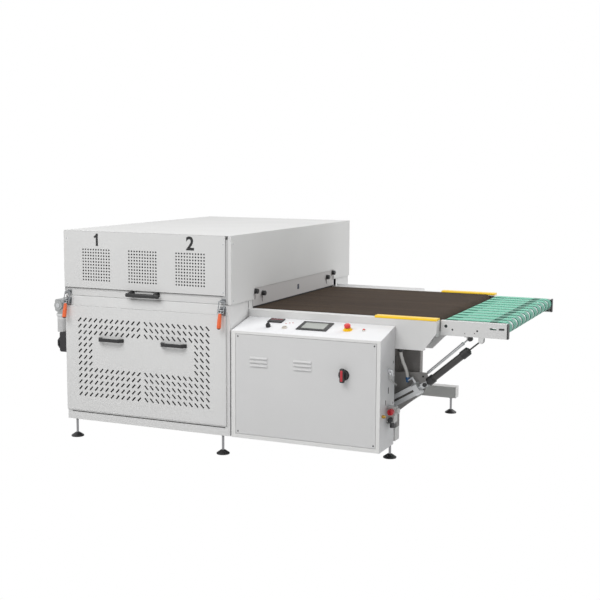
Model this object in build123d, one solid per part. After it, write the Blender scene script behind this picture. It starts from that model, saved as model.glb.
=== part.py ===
from build123d import *
import math
import os

# Ultraviolet curing dryer with a mesh belt, a lift-up hood and an outfeed table of flat belts.
# Millimetres. X runs with the belt, Y away from the operator's side, Z up. While modelling,
# X = 0 is the hood's exit face, Y = 0 its front face and Z = 0 the floor.

# Sheet, tube and fits
SHEET = 3.0
TUBE = 50.0
RUNNING_CLEARANCE = 0.05
SEAT_GAP = 0.3

# Control cabinet
CAB_LENGTH = 986.0
CAB_DEPTH = 262.0
CAB_BOTTOM = 133.0
CAB_FRONT_TOP = 811.0
CAB_BACK_TOP = 868.0
DOOR_LEFT = 29.0
DOOR_RIGHT = 962.0
DOOR_BOTTOM = 159.0
DOOR_TOP = 795.0
DOOR_GAP = 2.0
DOOR_SHEET = 2.0
DOOR_RETURN = 20.0
DOOR_PIN_INSET = 10.0
DOOR_PIN_DEPTH = 6.0
DOOR_PIN_RADIUS = 3.0
DOOR_PIN_GRIP = 8.0
DOOR_BOSS = 12.0
LOUVRE_WIDTH = 118.0
LOUVRE_RISE = 13.0
LOUVRE_PITCH = 24.0
LOUVRE_REACH = 8.0
LOUVRE_ROWS = 3
LOUVRE_GROUPS = (130.0, 425.0)
LOUVRE_TOP = 645.0
SWITCH_X = 756.0
SWITCH_Z = 592.0
SWITCH_RADIUS = 34.0
SWITCH_PLATE = 6.0
SWITCH_SPINDLE = 7.0

# Belt conveyor
BELT_TOP = 915.0
BELT_WIDTH = 1370.0
BELT_THICKNESS = 2.0
BELT_SIDE_GAP = 2.0
BELT_GAP = 0.3
ROLLER_RADIUS = 45.0
ROLLER_END_GAP = 2.0
SHAFT_RADIUS = 15.0
BEARING_SIDE = 56.0
BEARING_DEPTH = 26.0
DRIVE_X = -1413.0
NOSE_X = 1180.0
CABINET_GAP = 2.0
RAIL_FLANGE = 69.0
RAIL_FOOT = 40.0
RAIL_BOTTOM = 728.0
RAIL_TOP = 912.0
RAIL_LEFT = -1445.0
RAIL_RIGHT = 1245.0
RAIL_CHAMFER_X = 80.0
RAIL_CHAMFER_Z = 111.0
BED_EDGE_GAP = 5.0
TIE_STATIONS = (-1260.0, -700.0, -100.0, 500.0, 1040.0)
TIE_WIDTH = 40.0
TIE_BOTTOM = 836.0
GUARD_LEFT = 850.0
GUARD_HEIGHT = 13.0
GUARD_LAP = 2.0

# The console's depth and the belt's width set how deep the machine is
RAIL_OUTER = CAB_DEPTH + CABINET_GAP
RAIL_INNER = RAIL_OUTER + RAIL_FLANGE
BELT_MID = RAIL_INNER + BELT_SIDE_GAP + BELT_WIDTH / 2
DEPTH = 2 * BELT_MID
ROLLER_Z = BELT_TOP - BELT_THICKNESS - BELT_GAP - ROLLER_RADIUS

# Drive
GEARBOX_FRONT = 160.0
GEARBOX_HALF = 36.0
GEARBOX_HUB = 31.0
GEARBOX_CORNER = 14.0
MOTOR_Y = 208.0
MOTOR_RADIUS = 33.0
MOTOR_TOP = 807.0
MOTOR_BOTTOM = 683.0
TERMINAL_BOTTOM = 545.0

# Hood and base
HOOD_LENGTH = 1240.0
HOOD_TOP = 1400.0
SPLIT = 970.0
BASE_INSET = 10.0
BASE_TOP = 968.0
FRAME_BOTTOM = 134.0
FRONT_BAR_SETBACK = 22.0
HINGE_STANDOFF = 14.0
HINGE_PIN_RADIUS = 6.0
HINGE_KNUCKLE_RADIUS = 12.0
HINGE_LEAF = 120.0
HINGE_KNUCKLE = 40.0
HINGE_SIDE_GAP = 1.0
HINGE_PLATE_THICKNESS = 4.0
HINGE_INSET = 190.0

# Hood front
COVER_BOTTOM = 1024.0
COVER_TOP_GAP = 0.5
CORNER_POST = 22.0
CORNER_GAP = 20.0
CORNER_GAP_DEPTH = 28.0
RAIL_SETBACK = 12.0
RAIL_RETURN = 30.0
COVER_LAP = 26.0
CUTOUT_TOP = 1042.0
CUTOUT_OVERLAP = 5.0
CUTOUT_MARGIN = RAIL_INNER - CUTOUT_OVERLAP
SHIELD_LAP = 10.0
SHIELD_BOTTOM = 925.0
SHIELD_TOP = 1062.0
SHIELD_TRAVEL = 50.0
SHIELD_GAP = 0.5

# Clamp knobs of the exit shield
KNOB_RADIUS = 17.0
KNOB_LENGTH = 24.0
KNOB_STUD_RADIUS = 4.0
KNOB_STUD_END = -16.0
OUTER_KNOB_Y = CUTOUT_MARGIN + 20.0
OUTER_KNOB_Z = 1021.0
INNER_KNOB_Y = CUTOUT_MARGIN + 132.0
INNER_KNOB_Z = 998.0

# Lamps and their fans
LAMP_STATIONS = (-990.0, -290.0)
LAMP_HEIGHT = 1012.0
LAMP_RADIUS = 13.0
LAMP_LENGTH = 1430.0
LAMP_BASE_RADIUS = 11.0
LAMP_BASE_LENGTH = 75.0
REFLECTOR_OVERHANG = 35.0
REFLECTOR_HALF = 95.0
REFLECTOR_MOUTH = 980.0
REFLECTOR_TOP = 1098.0
HOLDER_THICKNESS = 6.0
HOLDER_INSET = 8.0
HOLDER_HALF = 16.0
HOLDER_TOP = 1034.0
HANGER_REACH = 500.0
HANGER_WIDTH = 16.0
FAN_RADIUS = 95.0
FAN_MARGIN = 14.0
FAN_HANGER = 110.0
FAN_HEIGHT = HOOD_TOP - SHEET - FAN_HANGER - FAN_MARGIN - FAN_RADIUS
FAN_FRONT = 40.0
FAN_DEPTH = 44.0
FAN_TIP_GAP = 4.0
FAN_HUB = 32.0
FAN_BLADES = 7
BLADE_LENGTH = 60.0

# Grille panel
PANEL_LEFT = -1226.0
PANEL_RIGHT = -32.0
PANEL_BOTTOM = 204.0
PANEL_TOP = 903.0
PANEL_PROUD = 14.0
BAND_SETBACK = 2.0
BAND_SLOPE = 0.1
SILL_HEIGHT = 50.0
SILL_RETURN = 20.0
CORNER_FLANGE = 30.0
SLOT_LENGTH = 35.0
SLOT_WIDTH = 10.0
SLOT_ANGLE = 47.0
SLOT_PITCH_X = 41.0
SLOT_PITCH_Z = 41.6
SLOT_ROWS = 13
SLOT_COLUMNS = 12
SLOT_TOP_ROW = 813.0
SLOT_HALF_GAP = 27.0
SLOT_CENTRE_X = -638.0
BARE_ROWS = (4, 8)
SIDE_COLUMNS = 3

# Bridge handles
HANDLE_HEIGHT = 22.0
HANDLE_REACH = 38.0
HANDLE_BAR = 12.0
HANDLE_FOOT = 26.0
GRILLE_HANDLES = ((-966.0, -776.0), (-498.0, -308.0))
GRILLE_HANDLE_Z = 692.0
HOOD_HANDLE = (-750.0, -505.0)
HOOD_HANDLE_Z = 1000.0

# Exhaust
BLOWER_X = -620.0
BLOWER_SETBACK = 340.0
BLOWER_Y = DEPTH - BLOWER_SETBACK
BLOWER_Z = 430.0
SCROLL_RADIUS = 190.0
SCROLL_WIDTH = 150.0
DUCT_SETBACK = 60.0
SPIGOT_RADIUS = 100.0
SPIGOT_LENGTH = 57.0
SPIGOT_STEP = 3.0
SPIGOT_Z = 520.0
BACK_SLOT = (240.0, 10.0)
BACK_SLOT_PITCH = 40.0
BACK_SLOT_ROWS = 8
BACK_SLOT_COLUMNS = (-1080.0, -440.0)
BACK_SLOT_BOTTOM = 300.0

# Outfeed table
TABLE_HINGE_X = 1283.0
TABLE_ROLLER_RADIUS = 35.0
TABLE_SHAFT_RADIUS = 10.0
TABLE_BOSS_RADIUS = 22.0
TABLE_STEP = 2.0
TABLE_RAIL_OUTER = RAIL_INNER + TABLE_STEP
TABLE_RAIL_FLANGE = 34.0
TABLE_RAIL_WALL = 5.0
TABLE_RAIL_LEFT = 1250.0
TABLE_RAIL_RIGHT = 1655.0
TABLE_RAIL_BOTTOM = 820.0
TABLE_RAIL_TOP = 910.0
END_ROLLER_X = 1622.0
END_CAP = 8.0
HINGE_PLATE_GAP = 2.0
HINGE_PLATE = 8.0
HINGE_PLATE_Y = TABLE_RAIL_OUTER + TABLE_RAIL_FLANGE + HINGE_PLATE_GAP
HINGE_TIE_LEFT = 1100.0
HINGE_TIE_RIGHT = 1150.0
HINGE_TIE_BOTTOM = 740.0
HINGE_TIE_HEIGHT = 50.0
TENSION_SLOT = 40.0
TENSION_SLOT_OFFSET = 50.0
TENSION_SLOT_HEIGHT = 12.0
BED_MARGIN = 12.0
BED_SHEET = 3.0
TABLE_TIES = (77.0, 217.0)
TABLE_TIE = 36.0
FLAT_BELT_THICKNESS = 3.0
FLAT_BELT_WIDTH = 78.0
FLAT_BELT_PITCH = 120.0
TABLE_Z = BELT_TOP - FLAT_BELT_THICKNESS - BELT_GAP - TABLE_ROLLER_RADIUS
TABLE_ROLLER_END = HINGE_PLATE_Y + HINGE_PLATE + 1
BELT_FIELD = DEPTH - 2 * TABLE_ROLLER_END - FLAT_BELT_WIDTH
FLAT_BELTS = int(BELT_FIELD // FLAT_BELT_PITCH) + 1

# Outfeed stand
BEAM_BOTTOM = 120.0
BEAM_TOP = 202.0
BEAM_WIDTH = 80.0
BEAM_END = 958.0
POST = 60.0
POST_Y = RAIL_OUTER + 134.0
NEAR_BEAM_Y = POST_Y + 18.0
FAR_BEAM_SETBACK = 228.0
FAR_BEAM_Y = DEPTH - FAR_BEAM_SETBACK
CROSS_X = 640.0
BRACE_WIDTH = 60.0
BRACE_RUN = 442.0

# Table lift
LIFT_INSET = 15.0
LIFT_Y = TABLE_RAIL_OUTER + LIFT_INSET
LIFT_PIN_X = 1158.0
LIFT_PIN_Z = 505.0
LIFT_SLOPE = 31.0
LIFT_PIN_RADIUS = 6.0
LUG_RADIUS = 16.0
LUG_THICKNESS = 7.0
LUG_GAP = 2.0
STRUT_TOP_X = 1500.0
STRUT_TOP_Z = 800.0
STRUT_RADIUS = 18.0
STRUT_ROD_RADIUS = 5.0
STRUT_ROD_SHOWN = 95.0
STRUT_EYE_PLAY = 4.0
EYE_HALF = 8.0
EYE_WALL = 8.0
BARREL_SIDE = 76.0
BARREL_STEP = 8.0
BARREL_LENGTH = 260.0
CAP_LENGTH = 34.0
CAP_GAP = 42.0
PISTON_RADIUS = 10.0
FORK_WIDTH = 36.0
ARM_THICKNESS = 10.0
ARM_FOOT_Z = 300.0
STAY_Y = POST_Y + 14.0
STAY_X = 1130.0
STAY_Z = 545.0
STAY_TOP_X = 1412.0
STAY_TOP_Z = 800.0
STAY_RADIUS = 5.0
STAY_TAIL = 90.0
STAY_EYE_PLAY = 2.5
STAY_EYE_WALL = 6.0

# Levelling feet
FOOT_RADIUS = 42.5
FOOT_RIM = 7.0
FOOT_NECK = 15.0
FOOT_HEIGHT = 26.0
STEM_RADIUS = 8.0
NUT_WIDTH = 24.0
NUT_HEIGHT = 10.0
FOOT_LEFT_X = -1200.0
FOOT_RIGHT_X = -90.0
FOOT_EDGE_Y = 60.0
STAND_FOOT_X = 912.0

# Latches
LATCH_X = (-1208.0, -58.0)
LATCH_PIVOT_Y = -24.0
LATCH_PIVOT_Z = 932.0
LATCH_PIN_RADIUS = 4.0
LATCH_HOOK_Y = -34.0
LATCH_HOOK_Z = 918.0
LEVER_HALF = 11.0
BRACKET_HALF = 18.0
BRACKET_BOTTOM = 908.0
BRACKET_TOP = 956.0
BRACKET_FACE_Y = -3.0
HOOK_BAR_Y = -14.0
HOOK_BAR_Z = 990.0
HOOK_HALF = 20.0
WIRE_RADIUS = 3.0
GRIP_WIDTH = 28.0
GRIP_BOTTOM = 820.0
KEEPER_HALF = 16.0
KEEPER_SHEET = 3.0
KEEPER_LIP_Y = -7.0
KEEPER_SHELF_Z = 983.0
KEEPER_LIP = 14.0
KEEPER_PLATE = (976.0, 1006.0)

# Devices on the sloped panel: distance along X, distance up the slope
METER_AT = (213.0, 214.0)
METER_SIZE = (138.0, 72.0, 7.0)
SCREEN_AT = (499.0, 164.0)
SCREEN_SIZE = (202.0, 144.0, 6.0)
SELECTOR_AT = (207.0, 104.0)
SELECTOR_RADIUS = 15.0
SELECTOR_STEM = 8.0
START_AT = (318.0, 104.0)
START_RADIUS = 10.0
RESET_AT = (825.0, 152.0)
RESET_RADIUS = 7.0
STOP_AT = (722.0, 146.0)
STOP_RADIUS = 20.0
STOP_STEM = 11.0
COLLAR_WALL = 5.0
COLLAR_HEIGHT = 8.0
PLUNGER_HEIGHT = 6.0

# Switchgear inside the console
PLATE_LEFT = 50.0
PLATE_RIGHT = 930.0
PLATE_BOTTOM = 180.0
PLATE_TOP = 780.0
PLATE_STANDOFF = 17.0

# Air fittings on the console's end wall
VALVE_Y = 128.0
VALVE_Z = 366.0
VALVE_OUT = 30.0
VALVE_KNOB_RADIUS = 19.0
REGULATOR_Z = 316.0
REGULATOR_OUT = 26.0
REGULATOR_KNOB_RADIUS = 15.0
HOSE_RADIUS = 4.0
HOSE_BEND = 12.0
ELBOW_Y = 144.0
ELBOW_Z = 610.0
HOSE_FAR_Z = 484.0

BASE_LEFT = -HOOD_LENGTH + BASE_INSET
BASE_RIGHT = -BASE_INSET
PANEL_SLOPE = math.degrees(math.atan2(CAB_BACK_TOP - CAB_FRONT_TOP, CAB_DEPTH))


def block(x0, x1, y0, y1, z0, z1):
    """A rectangular solid between two corners."""
    return Pos((x0 + x1) / 2, (y0 + y1) / 2, (z0 + z1) / 2) * Box(x1 - x0, y1 - y0, z1 - z0)


def prism_x(outline, x0, x1):
    """A profile of (y, z) points drawn out along X."""
    face = make_face(Polyline(*[(x0, y, z) for y, z in outline], close=True))
    return extrude(face, amount=x1 - x0, dir=(1, 0, 0))


def prism_y(outline, y0, y1):
    """A profile of (x, z) points drawn out along Y."""
    face = make_face(Polyline(*[(x, y0, z) for x, z in outline], close=True))
    return extrude(face, amount=y1 - y0, dir=(0, 1, 0))


def prism_z(outline, z0, z1):
    """A profile of (x, y) points drawn out along Z."""
    face = make_face(Polyline(*[(x, y, z0) for x, y in outline], close=True))
    return extrude(face, amount=z1 - z0, dir=(0, 0, 1))


def rod(start, direction, length, radius):
    """A round bar from a point along a direction."""
    plane = Plane(origin=start, z_dir=direction)
    return plane * Cylinder(radius, length, align=(Align.CENTER, Align.CENTER, Align.MIN))


def rod_y(x, z, y0, y1, radius):
    return rod((x, y0, z), (0, 1, 0), y1 - y0, radius)


def rod_x(y, z, x0, x1, radius):
    return rod((x0, y, z), (1, 0, 0), x1 - x0, radius)


def rod_z(x, y, z0, z1, radius):
    return rod((x, y, z0), (0, 0, 1), z1 - z0, radius)


def mirrored(shape):
    """The same piece on the far side of the belt's centre line."""
    return mirror(shape, about=Plane(origin=(0, BELT_MID, 0), z_dir=(0, 1, 0)))


def group(*pieces):
    """Separate solids that share one node."""
    solids = []
    for piece in pieces:
        solids.extend(piece.solids())
    return Compound(children=solids)


def bridge_handle(x0, x1, face_y, z_mid):
    """A moulded bridge handle: two feet on the sheet and a grip held off it."""
    front = face_y - HANDLE_REACH
    back = front + HANDLE_BAR
    outline = [
        (x0, face_y),
        (x0 + 3, face_y - HANDLE_BAR),
        (x0 + 20, front),
        (x1 - 20, front),
        (x1 - 3, face_y - HANDLE_BAR),
        (x1, face_y),
        (x1 - HANDLE_FOOT, face_y),
        (x1 - HANDLE_FOOT - 8, back),
        (x0 + HANDLE_FOOT + 8, back),
        (x0 + HANDLE_FOOT, face_y),
    ]
    bar = prism_z(outline, z_mid - HANDLE_HEIGHT / 2, z_mid + HANDLE_HEIGHT / 2)
    return chamfer(bar.faces().sort_by(Axis.Y)[0].edges(), 3)


def levelling_feet():
    """A moulded pad, a threaded stem and a jam nut under each corner."""
    half = [(0, 0), (FOOT_RADIUS, 0), (FOOT_RADIUS, FOOT_RIM), (FOOT_NECK, FOOT_HEIGHT), (0, FOOT_HEIGHT)]
    pad = revolve(make_face(Polyline(*[(r, 0, z) for r, z in half], close=True)), Axis.Z)
    nut = extrude(RegularPolygon(NUT_WIDTH / 2, 6, major_radius=False), amount=NUT_HEIGHT)
    far = DEPTH - FOOT_EDGE_Y
    places = [(x, y, FRAME_BOTTOM) for x in (FOOT_LEFT_X, FOOT_RIGHT_X) for y in (FOOT_EDGE_Y, far)]
    places += [(STAND_FOOT_X, y, BEAM_BOTTOM) for y in (NEAR_BEAM_Y, FAR_BEAM_Y)]
    feet = []
    for x, y, top in places:
        stem = rod_z(0, 0, FOOT_HEIGHT, top, STEM_RADIUS)
        feet.append(Pos(x, y, 0) * (pad + stem + Pos(0, 0, top - NUT_HEIGHT) * nut))
    return group(*feet)


def base_frame():
    """Welded square tube: a floor ring, four posts and the bars that carry the conveyor."""
    x0, x1 = BASE_LEFT + SHEET, BASE_RIGHT - SHEET
    y0, y1 = FRONT_BAR_SETBACK, DEPTH - FRONT_BAR_SETBACK
    ring_top = FRAME_BOTTOM + TUBE
    bars = []
    for y in (y0, y1 - TUBE):
        bars.append(block(x0, x1, y, y + TUBE, FRAME_BOTTOM, ring_top))
        bars.append(block(x0 + TUBE, x1 - TUBE, y, y + TUBE, PANEL_TOP, PANEL_TOP + TUBE))
        for x in (x0, x1 - TUBE):
            bars.append(block(x, x + TUBE, y, y + TUBE, ring_top, PANEL_TOP + TUBE))
    for x in (x0, x1 - TUBE):
        bars.append(block(x, x + TUBE, y0 + TUBE, y1 - TUBE, FRAME_BOTTOM, ring_top))
        bars.append(block(x, x + TUBE, y0 + TUBE, y1 - TUBE, RAIL_BOTTOM - TUBE, RAIL_BOTTOM))
    return group(*bars)


def band_face(z):
    """How far the sloping band above the grille panel stands back at a height."""
    return BAND_SETBACK + (z - PANEL_TOP) * BAND_SLOPE


def base_skins():
    """Folded sheets: two end walls notched for the conveyor, the back, the band and the sill."""
    notch_near, notch_far = RAIL_OUTER - 6, DEPTH - RAIL_OUTER + 6
    x0, x1 = BASE_LEFT + SHEET, BASE_RIGHT - SHEET
    walls = []
    for wall in ((BASE_LEFT, x0), (x1, BASE_RIGHT)):
        walls.append(block(*wall, 0, DEPTH, FRAME_BOTTOM, RAIL_BOTTOM))
        walls.append(block(*wall, 0, notch_near, RAIL_BOTTOM, BASE_TOP))
        walls.append(block(*wall, notch_far, DEPTH, RAIL_BOTTOM, BASE_TOP))
    for x in (x0, x1 - CORNER_FLANGE):
        walls.append(block(x, x + CORNER_FLANGE, 0, SHEET, FRAME_BOTTOM + SILL_HEIGHT, PANEL_TOP))
    band = [
        (band_face(PANEL_TOP), PANEL_TOP),
        (band_face(BASE_TOP - 6), BASE_TOP - 6),
        (14, BASE_TOP),
        (70, BASE_TOP),
        (70, BASE_TOP - SHEET),
        (16, BASE_TOP - SHEET),
        (11, BASE_TOP - 8),
        (5, PANEL_TOP),
    ]
    sill_top = FRAME_BOTTOM + SILL_HEIGHT
    sill = [
        (0, FRAME_BOTTOM),
        (SILL_RETURN, FRAME_BOTTOM),
        (SILL_RETURN, FRAME_BOTTOM + SHEET),
        (SHEET, FRAME_BOTTOM + SHEET),
        (SHEET, sill_top - SHEET),
        (SILL_RETURN, sill_top - SHEET),
        (SILL_RETURN, sill_top),
        (0, sill_top),
    ]
    ring = FRONT_BAR_SETBACK + TUBE
    floor = block(x0 + TUBE, x1 - TUBE, ring, DEPTH - ring, FRAME_BOTTOM, FRAME_BOTTOM + SHEET)
    back = block(x0, x1, DEPTH - SHEET, DEPTH, FRAME_BOTTOM, BASE_TOP)
    back -= rod_y(BLOWER_X, SPIGOT_Z, DEPTH - 10, DEPTH + 10, SPIGOT_RADIUS - SPIGOT_STEP + 1)
    for x in BACK_SLOT_COLUMNS:
        for row in range(BACK_SLOT_ROWS):
            z = BACK_SLOT_BOTTOM + row * BACK_SLOT_PITCH
            back -= block(x, x + BACK_SLOT[0], DEPTH - 10, DEPTH + 10, z, z + BACK_SLOT[1])
    for x in (-HOOD_LENGTH + HINGE_INSET, -HINGE_INSET):
        back += base_hinge_leaf(x)
    return group(*walls, back, floor, prism_x(band, x0, x1), prism_x(sill, x0, x1))


def base_hinge_leaf(x):
    """The base's half of a hood hinge: a plate, two knuckles and the pin they hold."""
    axis_y = DEPTH + HINGE_STANDOFF
    half = HINGE_LEAF / 2
    inner = HINGE_KNUCKLE / 2 + HINGE_SIDE_GAP
    leaf_top = SPLIT - HINGE_KNUCKLE_RADIUS - 2
    leaf = block(x - half, x + half, DEPTH, DEPTH + HINGE_PLATE_THICKNESS, leaf_top - 60, leaf_top)
    for x0, x1 in ((x - half, x - inner), (x + inner, x + half)):
        leaf += rod_x(axis_y, SPLIT, x0, x1, HINGE_KNUCKLE_RADIUS)
        leaf += block(x0, x1, DEPTH, axis_y, leaf_top - 2, SPLIT - 4)
    return leaf + rod_x(axis_y, SPLIT, x - half, x + half, HINGE_PIN_RADIUS)


def exhaust_blower():
    """A scroll fan on the floor bars that draws air off the belt and out at the back."""
    half = SCROLL_WIDTH / 2
    left, right = BLOWER_X - half, BLOWER_X + half
    duct_back = DEPTH - DUCT_SETBACK
    scroll = rod_x(BLOWER_Y, BLOWER_Z, left, right, SCROLL_RADIUS)
    scroll += block(left, right, BLOWER_Y, duct_back, BLOWER_Z, BLOWER_Z + SCROLL_RADIUS)
    scroll += rod_x(BLOWER_Y, BLOWER_Z, right, right + 150, 80)
    rest = FRAME_BOTTOM + TUBE
    scroll += block(BLOWER_X - 90, BLOWER_X + 90, BLOWER_Y - 140, BLOWER_Y + 140, rest, rest + 78)
    tray_x = (BASE_LEFT + SHEET + TUBE, BASE_RIGHT - SHEET - TUBE)
    tray = block(*tray_x, BLOWER_Y - 160, BLOWER_Y + 160, rest - 10, rest)
    neck = SPIGOT_RADIUS - SPIGOT_STEP
    collar_start = DEPTH + SPIGOT_STEP
    spigot = rod_y(BLOWER_X, SPIGOT_Z, duct_back, collar_start, neck)
    spigot += rod_y(BLOWER_X, SPIGOT_Z, collar_start, collar_start + SPIGOT_LENGTH, SPIGOT_RADIUS)
    spigot -= rod_y(BLOWER_X, SPIGOT_Z, duct_back + 4, collar_start + SPIGOT_LENGTH + 1, neck - SPIGOT_STEP)
    return group(scroll, tray, spigot)


def grille_slots():
    """Centres and slopes of the herringbone slots, left half leaning one way, right the other."""
    slots = []
    for row in range(SLOT_ROWS):
        z = SLOT_TOP_ROW - row * SLOT_PITCH_Z
        bare = BARE_ROWS[0] - 1 <= row <= BARE_ROWS[1] - 1
        for column in range(SLOT_COLUMNS):
            if bare and column < SLOT_COLUMNS - SIDE_COLUMNS:
                continue
            reach = SLOT_HALF_GAP + column * SLOT_PITCH_X
            slots.append((SLOT_CENTRE_X - reach, z, SLOT_ANGLE))
            slots.append((SLOT_CENTRE_X + reach, z, -SLOT_ANGLE))
    return slots


def grille_panel():
    """The slotted front panel: a pan folded back along its edges, sloping under at the bottom."""
    width = PANEL_RIGHT - PANEL_LEFT
    height = PANEL_TOP - PANEL_BOTTOM
    sheet = Pos((PANEL_LEFT + PANEL_RIGHT) / 2, (PANEL_BOTTOM + PANEL_TOP) / 2) * Rectangle(width, height)
    sheet -= [Pos(x, z) * Rot(0, 0, a) * Rectangle(SLOT_LENGTH, SLOT_WIDTH) for x, z, a in grille_slots()]
    face_plane = Plane(origin=(0, SHEET - PANEL_PROUD, 0), x_dir=(1, 0, 0), z_dir=(0, -1, 0))
    panel = extrude(face_plane * sheet, amount=SHEET)
    inner = SHEET - PANEL_PROUD
    panel += block(PANEL_LEFT, PANEL_RIGHT, inner, 0, PANEL_TOP - SHEET, PANEL_TOP)
    panel += block(PANEL_LEFT, PANEL_LEFT + SHEET, inner, 0, PANEL_BOTTOM, PANEL_TOP)
    panel += block(PANEL_RIGHT - SHEET, PANEL_RIGHT, inner, 0, PANEL_BOTTOM, PANEL_TOP)
    lip = [
        (-PANEL_PROUD, PANEL_BOTTOM),
        (0, PANEL_BOTTOM - 14),
        (0, PANEL_BOTTOM - 10),
        (-PANEL_PROUD, PANEL_BOTTOM + 4),
    ]
    return panel + prism_x(lip, PANEL_LEFT, PANEL_RIGHT)


def grille_handles():
    return group(*[bridge_handle(x0, x1, -PANEL_PROUD, GRILLE_HANDLE_Z) for x0, x1 in GRILLE_HANDLES])


def conveyor_rails():
    """Folded side channels of the conveyor, chamfered at both ends and closed at the outfeed."""
    profile = [
        (RAIL_OUTER, RAIL_BOTTOM),
        (RAIL_OUTER + RAIL_FOOT, RAIL_BOTTOM),
        (RAIL_OUTER + RAIL_FOOT, RAIL_BOTTOM + SHEET),
        (RAIL_OUTER + SHEET, RAIL_BOTTOM + SHEET),
        (RAIL_OUTER + SHEET, RAIL_TOP - SHEET),
        (RAIL_INNER, RAIL_TOP - SHEET),
        (RAIL_INNER, RAIL_TOP),
        (RAIL_OUTER, RAIL_TOP),
    ]
    rail = prism_x(profile, RAIL_LEFT, RAIL_RIGHT)
    for end, sign in ((RAIL_LEFT, 1), (RAIL_RIGHT, -1)):
        closer = (end, end + sign * SHEET)
        rail += block(min(closer), max(closer), RAIL_OUTER, RAIL_INNER, RAIL_BOTTOM, RAIL_TOP)
        corner = [
            (end - sign, RAIL_BOTTOM - 1),
            (end + sign * RAIL_CHAMFER_X, RAIL_BOTTOM - 1),
            (end - sign, RAIL_BOTTOM + RAIL_CHAMFER_Z),
        ]
        rail -= prism_y(corner, RAIL_OUTER - 1, RAIL_INNER + 1)
    rail -= rod_y(DRIVE_X, ROLLER_Z, RAIL_OUTER - 1, RAIL_OUTER + SHEET + 1, SHAFT_RADIUS + 5)
    return group(rail, mirrored(rail))


def belt_bed():
    """The plate that the belt slides on, and the tubes that tie the rails together."""
    half = BELT_WIDTH / 2 - BED_EDGE_GAP
    top = BELT_TOP - BELT_THICKNESS - BELT_GAP
    under = RAIL_TOP - SHEET
    ends = (DRIVE_X + ROLLER_RADIUS + BED_MARGIN, NOSE_X - ROLLER_RADIUS - BED_MARGIN)
    bed = block(*ends, BELT_MID - half, BELT_MID + half, under, top)
    across = (RAIL_OUTER + SHEET, DEPTH - RAIL_OUTER - SHEET)
    return group(bed, *[block(x, x + TIE_WIDTH, *across, TIE_BOTTOM, under) for x in TIE_STATIONS])


def conveyor_belt():
    """The endless mesh belt round the drive roller and the nose roller."""
    span = NOSE_X - DRIVE_X
    inner = ROLLER_RADIUS + BELT_GAP
    outer = inner + BELT_THICKNESS
    loop = SlotCenterToCenter(span, 2 * outer) - SlotCenterToCenter(span, 2 * inner)
    middle = ((DRIVE_X + NOSE_X) / 2, BELT_MID + BELT_WIDTH / 2, ROLLER_Z)
    return extrude(Plane(origin=middle, x_dir=(1, 0, 0), z_dir=(0, -1, 0)) * loop, amount=BELT_WIDTH)


def belt_roller(x, shaft_front):
    """A roller as wide as the belt; its shaft ends in the far rail's bearing."""
    half = BELT_WIDTH / 2 - ROLLER_END_GAP
    body = rod_y(x, ROLLER_Z, BELT_MID - half, BELT_MID + half, ROLLER_RADIUS)
    return body + rod_y(x, ROLLER_Z, shaft_front, DEPTH - RAIL_OUTER - SHEET, SHAFT_RADIUS)


def roller_bearings():
    """Square bearing housings on the inner face of each rail."""
    half = BEARING_SIDE / 2
    inside = RAIL_OUTER + SHEET
    bore = SHAFT_RADIUS + RUNNING_CLEARANCE
    bearings = []
    for x in (DRIVE_X, NOSE_X):
        housing = block(x - half, x + half, inside, inside + BEARING_DEPTH, ROLLER_Z - half, ROLLER_Z + half)
        housing = chamfer(housing.edges().filter_by(Axis.Y), 12)
        housing -= rod_y(x, ROLLER_Z, inside - 1, inside + BEARING_DEPTH + 1, bore)
        bearings += [housing, mirrored(housing)]
    return group(*bearings)


def gearbox():
    """The right-angle gearbox: a block on the rail with a hollow output hub and a round cover."""
    half = GEARBOX_HALF
    face, seat = GEARBOX_FRONT + 16, RAIL_OUTER - 10
    body = block(DRIVE_X - half, DRIVE_X + half, face, seat, ROLLER_Z - half - 8, ROLLER_Z + half + 5)
    body = fillet(body.edges().filter_by(Axis.Y), GEARBOX_CORNER)
    body += rod_y(DRIVE_X, ROLLER_Z, GEARBOX_FRONT, face, GEARBOX_HUB)
    body += rod_y(DRIVE_X, ROLLER_Z, seat, RAIL_OUTER, GEARBOX_HUB)
    body += rod_z(DRIVE_X, MOTOR_Y, MOTOR_TOP, ROLLER_Z, MOTOR_RADIUS)
    bore = SHAFT_RADIUS + RUNNING_CLEARANCE
    return body - rod_y(DRIVE_X, ROLLER_Z, GEARBOX_FRONT - 1, RAIL_OUTER + 1, bore)


def gear_motor():
    """The motor hung under the gearbox, with its connection housing and a bow round the lead exit."""
    motor = rod_z(DRIVE_X, MOTOR_Y, MOTOR_BOTTOM, MOTOR_TOP, MOTOR_RADIUS)
    motor += rod_z(DRIVE_X, MOTOR_Y, MOTOR_TOP - 14, MOTOR_TOP, MOTOR_RADIUS + 6)
    sides = (DRIVE_X - 4, DRIVE_X + 56, MOTOR_Y - 30, MOTOR_Y + 30)
    housing = block(*sides, TERMINAL_BOTTOM, MOTOR_BOTTOM)
    housing = chamfer(housing.edges().filter_by(Axis.Y), 8)
    middle = TERMINAL_BOTTOM + 55
    bend = [(0, 48), (-26, 38), (-40, 18), (-40, -16), (-26, -36), (0, -48)]
    inner = [(0, 38), (-21, 29), (-30, 15), (-30, -13), (-21, -27), (0, -38)]
    bow = prism_y([(DRIVE_X + dx, middle + dz) for dx, dz in bend], MOTOR_Y - 6, MOTOR_Y + 6)
    bow -= prism_y([(DRIVE_X + dx, middle + dz) for dx, dz in inner], MOTOR_Y - 7, MOTOR_Y + 7)
    return motor + housing + bow


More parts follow.
